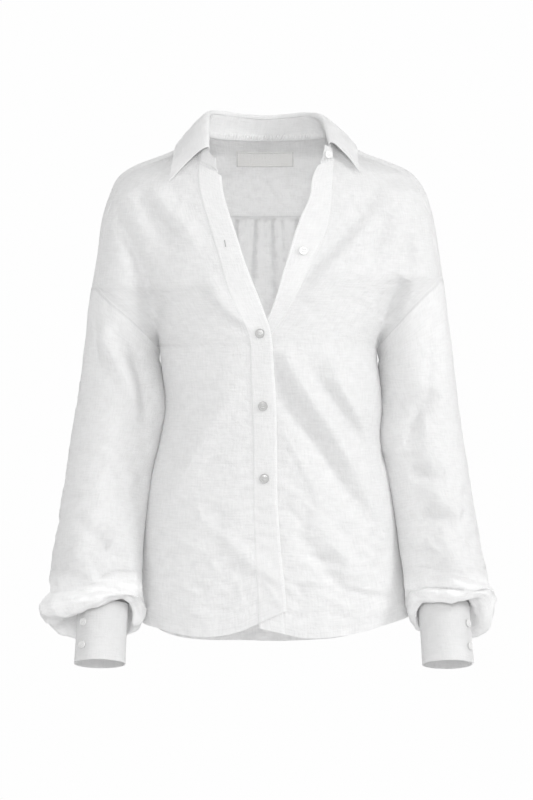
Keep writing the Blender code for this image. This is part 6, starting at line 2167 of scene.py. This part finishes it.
@dataclass(frozen=True)
class ButtonFinish:
    """Pale glossy button with faint clouds, like shell."""

    name: str = "button_shell"
    color: Triple = (0.86, 0.86, 0.855)
    roughness: float = 0.22
    cloud_scale: Triple = (180.0, 180.0, 420.0)
    cloud: float = 0.14
    coat: float = 0.3
    coat_roughness: float = 0.12

    def build(self) -> Material:
        """Make the material."""
        g = Graph(self.name)
        place = g.node("ShaderNodeTexCoord").outputs["Object"]
        cloud = g.noise(place, self.cloud_scale, 3.0)
        g.tint(self.color, g.math("ADD", g.swing(cloud, 0.5, self.cloud), 1.0))
        for name, value in (("Roughness", self.roughness), ("Coat Weight", self.coat),
                            ("Coat Roughness", self.coat_roughness)):
            g.shader.inputs[name].default_value = value
        return g.material


@dataclass(frozen=True)
class PlainFinish:
    """Matt thread, slit or floor of one colour with a fine grain."""

    name: str
    color: Triple
    roughness: float = 0.8
    grain_scale: float = 900.0
    grain: float = 0.1

    def build(self) -> Material:
        """Make the material."""
        g = Graph(self.name)
        place = g.node("ShaderNodeTexCoord").outputs["Object"]
        grain = g.noise(place, (self.grain_scale,) * 3, 1.0)
        g.link(g.math("ADD", g.math("MULTIPLY", grain, self.grain),
                      self.roughness - self.grain / 2), g.shader.inputs["Roughness"])
        g.shader.inputs["Base Color"].default_value = (*self.color, 1.0)
        return g.material


@dataclass(frozen=True)
class Body:
    """Back, yoke, fronts and plackets with their hems and seams."""

    cloth: Cloth
    rows_fine: int = 11
    columns_fine: int = 8
    hem_inset: float = 12.0
    seam_inset: float = 7.0
    seam_wall: float = 0.9
    placket_share: float = 0.45
    edge_width: float = 1.2
    edge_drop: float = 0.9
    placket_lift: float = 0.9
    lift_shares: Pair = (0.0, 0.05)
    placket_columns: int = 5
    back_columns: int = 6
    yoke_fine: tuple[int, int] = (8, 7)
    seam_edge: float = 1.2
    stitch_inset: float = 1.8
    placket_inset: float = 2.2
    inner_gap: float = 1.0     # from the inner line of the yoke to the edge of its turning
    first_stitch_row: int = 60

    def _panel(self, node: str, grid: Array, flip: bool, wall: float | Array, finish: Material,
               **marks: tuple[int, ...]) -> tuple[Object, Sheet]:
        """Make the cloth of one panel, with the rows and columns of painted shade and painted
        highlight that marks names.
        """
        sheet = Sheet(node + "_cloth", grid, wall, flip, **marks)
        return dress(sheet.build(), [node], finish), sheet

    def fronts(self, coarse: dict[Side, Array], finish: Material, stitching: Stitching) -> None:
        """Make both front panels."""
        for side in SIDES:
            grid = refine(coarse[side], self.rows_fine, self.columns_fine)
            piece, sheet = self._panel("front_" + side.value, self.cloth.displace(grid),
                                       side is Side.LEFT, self.cloth.wall, finish)
            stitching.sew(sheet, self.hem_inset, Edge.BOTTOM)
            stitching.sew(sheet, self.stitch_inset, Edge.START,
                          first_row=self.first_stitch_row)

    def plackets(self, coarse: dict[Side, Array], finish: Material,
                 stitching: Stitching) -> dict[Side, Array]:
        """Make both plackets and give their outer points."""
        made = {}
        for side in SIDES:
            grid = refine(coarse[side], self.rows_fine, self.placket_columns)
            grid = self._press(self.cloth.displace(grid), grid, side)
            # The last three columns along the free edge get a painted highlight.
            piece, sheet = self._panel("placket_" + side.value, grid, side is Side.RIGHT,
                                       self.cloth.band_wall, finish, lit_columns=(-1, -2, -3))
            stitching.sew(sheet, self.placket_inset, Edge.START, Edge.END)
            stitching.sew(sheet, self.hem_inset, Edge.BOTTOM)
            made[side] = grid
        return made

    def _press(self, moved: Array, plain: Array, side: Side) -> Array:
        """Flatten the folds across a placket away from its seam and raise it a little."""
        share = np.linspace(0, 1, moved.shape[1])[None, :, None]
        mix = moved * (1 - share * (1 - self.placket_share)) + plain * share * (
            1 - self.placket_share)
        normals = grid_normals(mix) * (-1.0 if side is Side.RIGHT else 1.0)
        lift = self.placket_lift * step(share, *self.lift_shares)
        made = mix + normals * lift * MM
        across = unit(made[:, -1] - made[:, -3])
        made[:, -2] = made[:, -1] - across * self.edge_width * MM
        made[:, -1] -= normals[:, -1] * self.edge_drop * MM
        return made

    def back(self, coarse: Array, finish: Material, stitching: Stitching) -> None:
        """Make the back panel."""
        grid = self.cloth.displace(refine(coarse, self.rows_fine, self.back_columns))
        # The first row, at the seam to the yoke, gets a painted shade line on the inner face.
        piece, sheet = self._panel("back", grid, False, self.cloth.wall, finish,
                                   seam_rows=(0,))
        stitching.sew(sheet, self.hem_inset, Edge.BOTTOM)

    def yoke(self, coarse: Array, finish: Material, stitching: Stitching) -> None:
        """Make the yoke, with the seam to the back sewn down."""
        grid = self.cloth.displace(refine(coarse, *self.yoke_fine))
        steps = np.linalg.norm(np.diff(grid, axis=0), axis=-1) / MM
        left = np.zeros(grid.shape[:2])
        left[:-1] = np.cumsum(steps[::-1], axis=0)[::-1]
        wall = self.cloth.wall + self.seam_wall * (
            1 - step(left, self.seam_inset, self.seam_inset + self.seam_edge))
        # The last row, at the seam to the back, gets a painted shade line on the inner face.
        piece, sheet = self._panel("yoke", grid, False, wall, finish, seam_rows=(-1,))
        stitching.sew(sheet, self.stitch_inset, Edge.BOTTOM)
        stitching.sew(sheet, self.seam_inset - self.inner_gap, Edge.BOTTOM, inside=True)


@dataclass(frozen=True)
class Buttonhole:
    """Sewn slit in the over placket."""

    x: float
    z: float
    length: float = 11.5
    wide: float = 3.2
    slit: float = 0.5
    lean: float = 9.0
    slit_share: float = 0.82
    slit_heights: Pair = (0.05, 0.22)
    nearest: int = 12
    loop_points: int = 60
    squareness: Pair = (1.9, 1.4)
    sewn: Thread = Thread(length=0.6, gap=0.1, radius=0.42, lift=0.2)

    def build(self, surface: Array, thread: Material, slit: Material) -> None:
        """Make the slit and its bound edge on the placket."""
        points = surface.reshape(-1, 3)
        near = points[np.argsort(np.hypot(points[:, 0] - self.x * MM,
                                          points[:, 2] - self.z * MM))[:self.nearest]]
        base = near.mean(axis=0)
        axis = np.linalg.svd(near - base)[2][2]
        axis = axis if axis[1] < 0 else -axis
        lean = math.radians(self.lean)
        along = np.array([math.sin(lean), 0.0, -math.cos(lean)])
        along = unit(along - axis * (along @ axis))
        side = np.cross(along, axis)
        half = self.length * MM / 2
        # The slit is a small box in a dark finish: painted shadow of the opening.
        slit_points = []
        for up in self.slit_heights:
            for a, b in ((-1, -1), (1, -1), (1, 1), (-1, 1)):
                slit_points.append(base + along * a * half * self.slit_share
                                   + side * b * self.slit * MM + axis * up * MM)
        quads = np.array([(0, 3, 2, 1), (4, 5, 6, 7), (0, 1, 5, 4), (1, 2, 6, 5),
                          (2, 3, 7, 6), (3, 0, 4, 7)])
        name = f"buttonhole_{round(-self.z)}"
        dress(mesh_object(name + "_slit", np.array(slit_points), quads), [], slit)
        loop = self._loop(base, along, side, half)
        points, faces = self.sewn.stitches(loop, np.tile(axis, (len(loop), 1)))
        dress(mesh_object(name + "_edge", points, faces, None, 80.0), [], thread)

    def _loop(self, base: Array, along: Array, side: Array, half: float) -> Array:
        """Outline of the bound edge."""
        wide = self.wide * MM / 2
        turn = np.linspace(0, 2 * math.pi, self.loop_points)
        a = np.clip(np.cos(turn) * self.squareness[0], -1, 1) * half
        b = np.clip(np.sin(turn) * self.squareness[1], -1, 1) * wide
        return base + a[:, None] * along + b[:, None] * side


@dataclass(frozen=True)
class Studio:
    """Pale floor, soft lights and the camera of the photo."""

    distance: float = 3.0
    look_x: float = 0.0007
    look_z: float = -0.345
    lens: float = 97.83
    floor_z: float = -1.25
    ambient: float = 0.66
    background: float = 0.991
    sensor: float = 36.0
    floor_half: float = 1.3
    floor_color: Triple = (0.82, 0.82, 0.82)
    # Name, place, size and watts of each light.
    lights: tuple[tuple[str, Triple, float, float], ...] = (
        ("front", (0.1, -3.4, 0.5), 0.8, 42.0), ("key", (2.6, -1.2, 1.0), 0.7, 33.0),
        ("fill", (-2.6, -1.4, 0.1), 0.9, 4.0), ("rear", (-0.6, 3.2, 0.8), 0.9, 30.0))

    def build(self) -> None:
        """Set the scene."""
        self._world()
        self._floor()
        for light in self.lights:
            self._area(*light)
        data = bpy.data.cameras.new("camera")
        data.lens = self.lens
        data.sensor_width = self.sensor
        camera = bpy.data.objects.new("camera", data)
        camera.location = (self.look_x, -self.distance, self.look_z)
        camera.rotation_euler = (math.pi / 2, 0.0, 0.0)
        bpy.context.scene.collection.objects.link(camera)
        bpy.context.scene.camera = camera
        bpy.context.scene.view_settings.view_transform = "Standard"
        bpy.context.scene.view_settings.look = "None"

    def _world(self) -> None:
        """White surroundings, a little darker as light than as background."""
        world = bpy.data.worlds.new("studio")
        bpy.context.scene.world = world
        world.use_nodes = True
        tree = world.node_tree
        seen = tree.nodes.new("ShaderNodeLightPath")
        back = tree.nodes["Background"]
        back.inputs["Color"].default_value = (1.0, 1.0, 1.0, 1.0)
        mix = tree.nodes.new("ShaderNodeMapRange")
        mix.inputs["To Min"].default_value = self.ambient
        mix.inputs["To Max"].default_value = self.background
        tree.links.new(seen.outputs["Is Camera Ray"], mix.inputs["Value"])
        tree.links.new(mix.outputs[0], back.inputs["Strength"])

    def _floor(self) -> None:
        """Plain pale floor under the shirt."""
        points = np.array([(x * self.floor_half, y * self.floor_half, self.floor_z)
                           for x, y in ((-1, -1), (1, -1), (1, 1), (-1, 1))])
        floor = mesh_object("floor", points, np.array([(0, 1, 2, 3)]))
        floor.data.materials.append(PlainFinish("floor_paint", self.floor_color).build())

    def _area(self, name: str, place: Triple, size: float, power: float) -> None:
        """Soft square light that points at the shirt."""
        data = bpy.data.lights.new(name, "AREA")
        data.size = size
        data.energy = power
        light = bpy.data.objects.new(name, data)
        light.location = place
        aim = Vector((0.0, 0.0, self.look_z)) - Vector(place)
        light.rotation_euler = aim.to_track_quat("-Z", "Y").to_euler()
        bpy.context.scene.collection.objects.link(light)


def creases(table: Sequence[Row], sharp: float = 0.0, gain: float = 1.0) -> tuple[Crease, ...]:
    """Creases from a table of height, width and crest."""
    return tuple(Crease(row[0] * gain, row[1], row[2], sharp) for row in table)


def crumples(heights: Row) -> tuple[Crumple, ...]:
    """Crumples of every size, at these heights."""
    return tuple(Crumple(size, height, slant, stretch, seed)
                 for (size, slant, stretch, seed), height in zip(CRUMPLES, heights))


def make_cloth() -> Cloth:
    """Folds and crumples of every panel."""
    body, arm = crumples((1.2, 0.9, 0.6, 0.3)), crumples((1.2, 1.15, 0.85, 0.4))
    front = (creases(FRONT_FOLDS, 0.1, 1.5) + creases(FRONT_CREASES, 0.8, 1.3)
             + creases(LOW_CREASES, 0.6, 1.5))
    sleeve = (creases(SLEEVE_FOLDS, 0.1, 2.3) + creases(SLEEVE_CREASES, 0.8, 2.1)
              + creases(ROLL_CREASES, 0.7))
    return Cloth(Relief(front, body), Relief(creases(BACK_FOLDS), body, GATHERS),
                 Relief(sleeve, arm), Relief(creases(SLEEVE_BACK_FOLDS, 0.3), arm))


def build_shirt() -> None:
    """Make every piece of the shirt in the order in which it is sewn."""
    cloth = make_cloth()
    linen = LinenFinish().build()
    # Plackets and collar take a copy of the linen a little lighter as painted light, with its own
    # smoother bumps and less light through.
    band = LinenFinish("linen_band_lit", (0.95, 0.95, 0.95), pucker=0.35, slub_tone=0.045,
                       through=0.28).build()
    # Sleeves take a lighter copy of the linen as painted light; below the roll it lets less light
    # through, where the cloth lies double.
    rolled = LinenFinish("linen_rolled_lit", (0.98, 0.98, 0.98), doubled=-0.575).build()
    # Back and yoke take a lighter, more see-through copy of the linen, painted light for the
    # inside seen through the neck, with stronger painted shade in its folds.
    lit_back_linen = LinenFinish("linen_back_lit", (0.99, 0.99, 0.99), crease_shade=0.15,
                               through=0.42).build()
    cuff_linen = LinenFinish("linen_cuff", (0.92, 0.92, 0.92), slub_tone=0.035, pucker=0.5,
                             through=0.36).build()
    thread = PlainFinish("thread", (0.84, 0.84, 0.84)).build()
    stitching = Stitching()
    body = Body(cloth)
    patterns = {side: FrontPattern(side) for side in SIDES}
    fronts = {side: patterns[side].front() for side in SIDES}
    plackets = {side: patterns[side].placket(fronts[side]) for side in SIDES}
    behind = BackPattern()
    back = behind.back()
    yoke = behind.yoke(back)
    body.back(back, lit_back_linen, stitching)
    body.yoke(yoke, lit_back_linen, stitching)
    body.fronts(fronts, linen, stitching)
    bands = body.plackets(plackets, band, stitching)
    for side in SIDES:
        sleeve = Sleeve(side, cloth)
        sleeve.build(sleeve.seam(fronts[side], yoke, back), rolled, stitching)
        Cuff(side).build(cuff_linen, stitching)
    collar = Collar()
    neck = collar.neck(plackets, fronts, yoke)
    collar.build(neck, band, stitching)
    woven = LinenFinish("label_weave", (0.96, 0.955, 0.94), roughness=0.55, sheen=0.1,
                        thread_pitch=0.0006, slub_tone=0.02, crease_shade=0.25, pucker=0.1,
                        through=0.02)
    Label().build(cloth, woven.build(), stitching)
    dress(stitching.build(), [], thread)
    add_buttons(bands, collar.stand(neck), thread)


def add_buttons(bands: dict[Side, Array], stand: Array, thread: Material) -> None:
    """Sew on every button and work the open buttonhole.

    Args:
        bands: Outer points of both plackets.
        stand: Outer points of the collar stand.
        thread: Finish of the sewing thread.
    """
    shell = ButtonFinish().build()
    # The buttons through the closed buttonholes take a dark copy of the same shell finish: painted
    # shade.
    shaded_shell = ButtonFinish("button_shell_shaded", (0.50, 0.50, 0.495)).build()
    for name, side in FRONT_BUTTON_SIDES:
        finish = shell if side is Side.LEFT else shaded_shell
        Button(name, FRONT_BUTTON_RADIUS).build(bands[side], finish, thread)
    Button("button_collar", SMALL_BUTTON_RADIUS).build(stand, shell, thread)
    plain = ButtonFinish("button_shell_plain", (0.75, 0.75, 0.745), 0.4).build()
    for side in SIDES:
        cuff = Cuff(side).grid()
        for number in (1, 2):
            name = f"button_cuff_{side.value}_{number}"
            Button(name, SMALL_BUTTON_RADIUS).build(cuff, plain, thread)
    slit = PlainFinish("slit_shadow", (0.35, 0.35, 0.35)).build()
    Buttonhole(*OPEN_HOLE).build(bands[Side.RIGHT], thread, slit)


def main() -> None:
    """Build the shirt and the studio."""
    logging.basicConfig(level=logging.INFO, format="%(message)s")
    build_shirt()
    Studio().build()


if __name__ == "__main__":
    main()
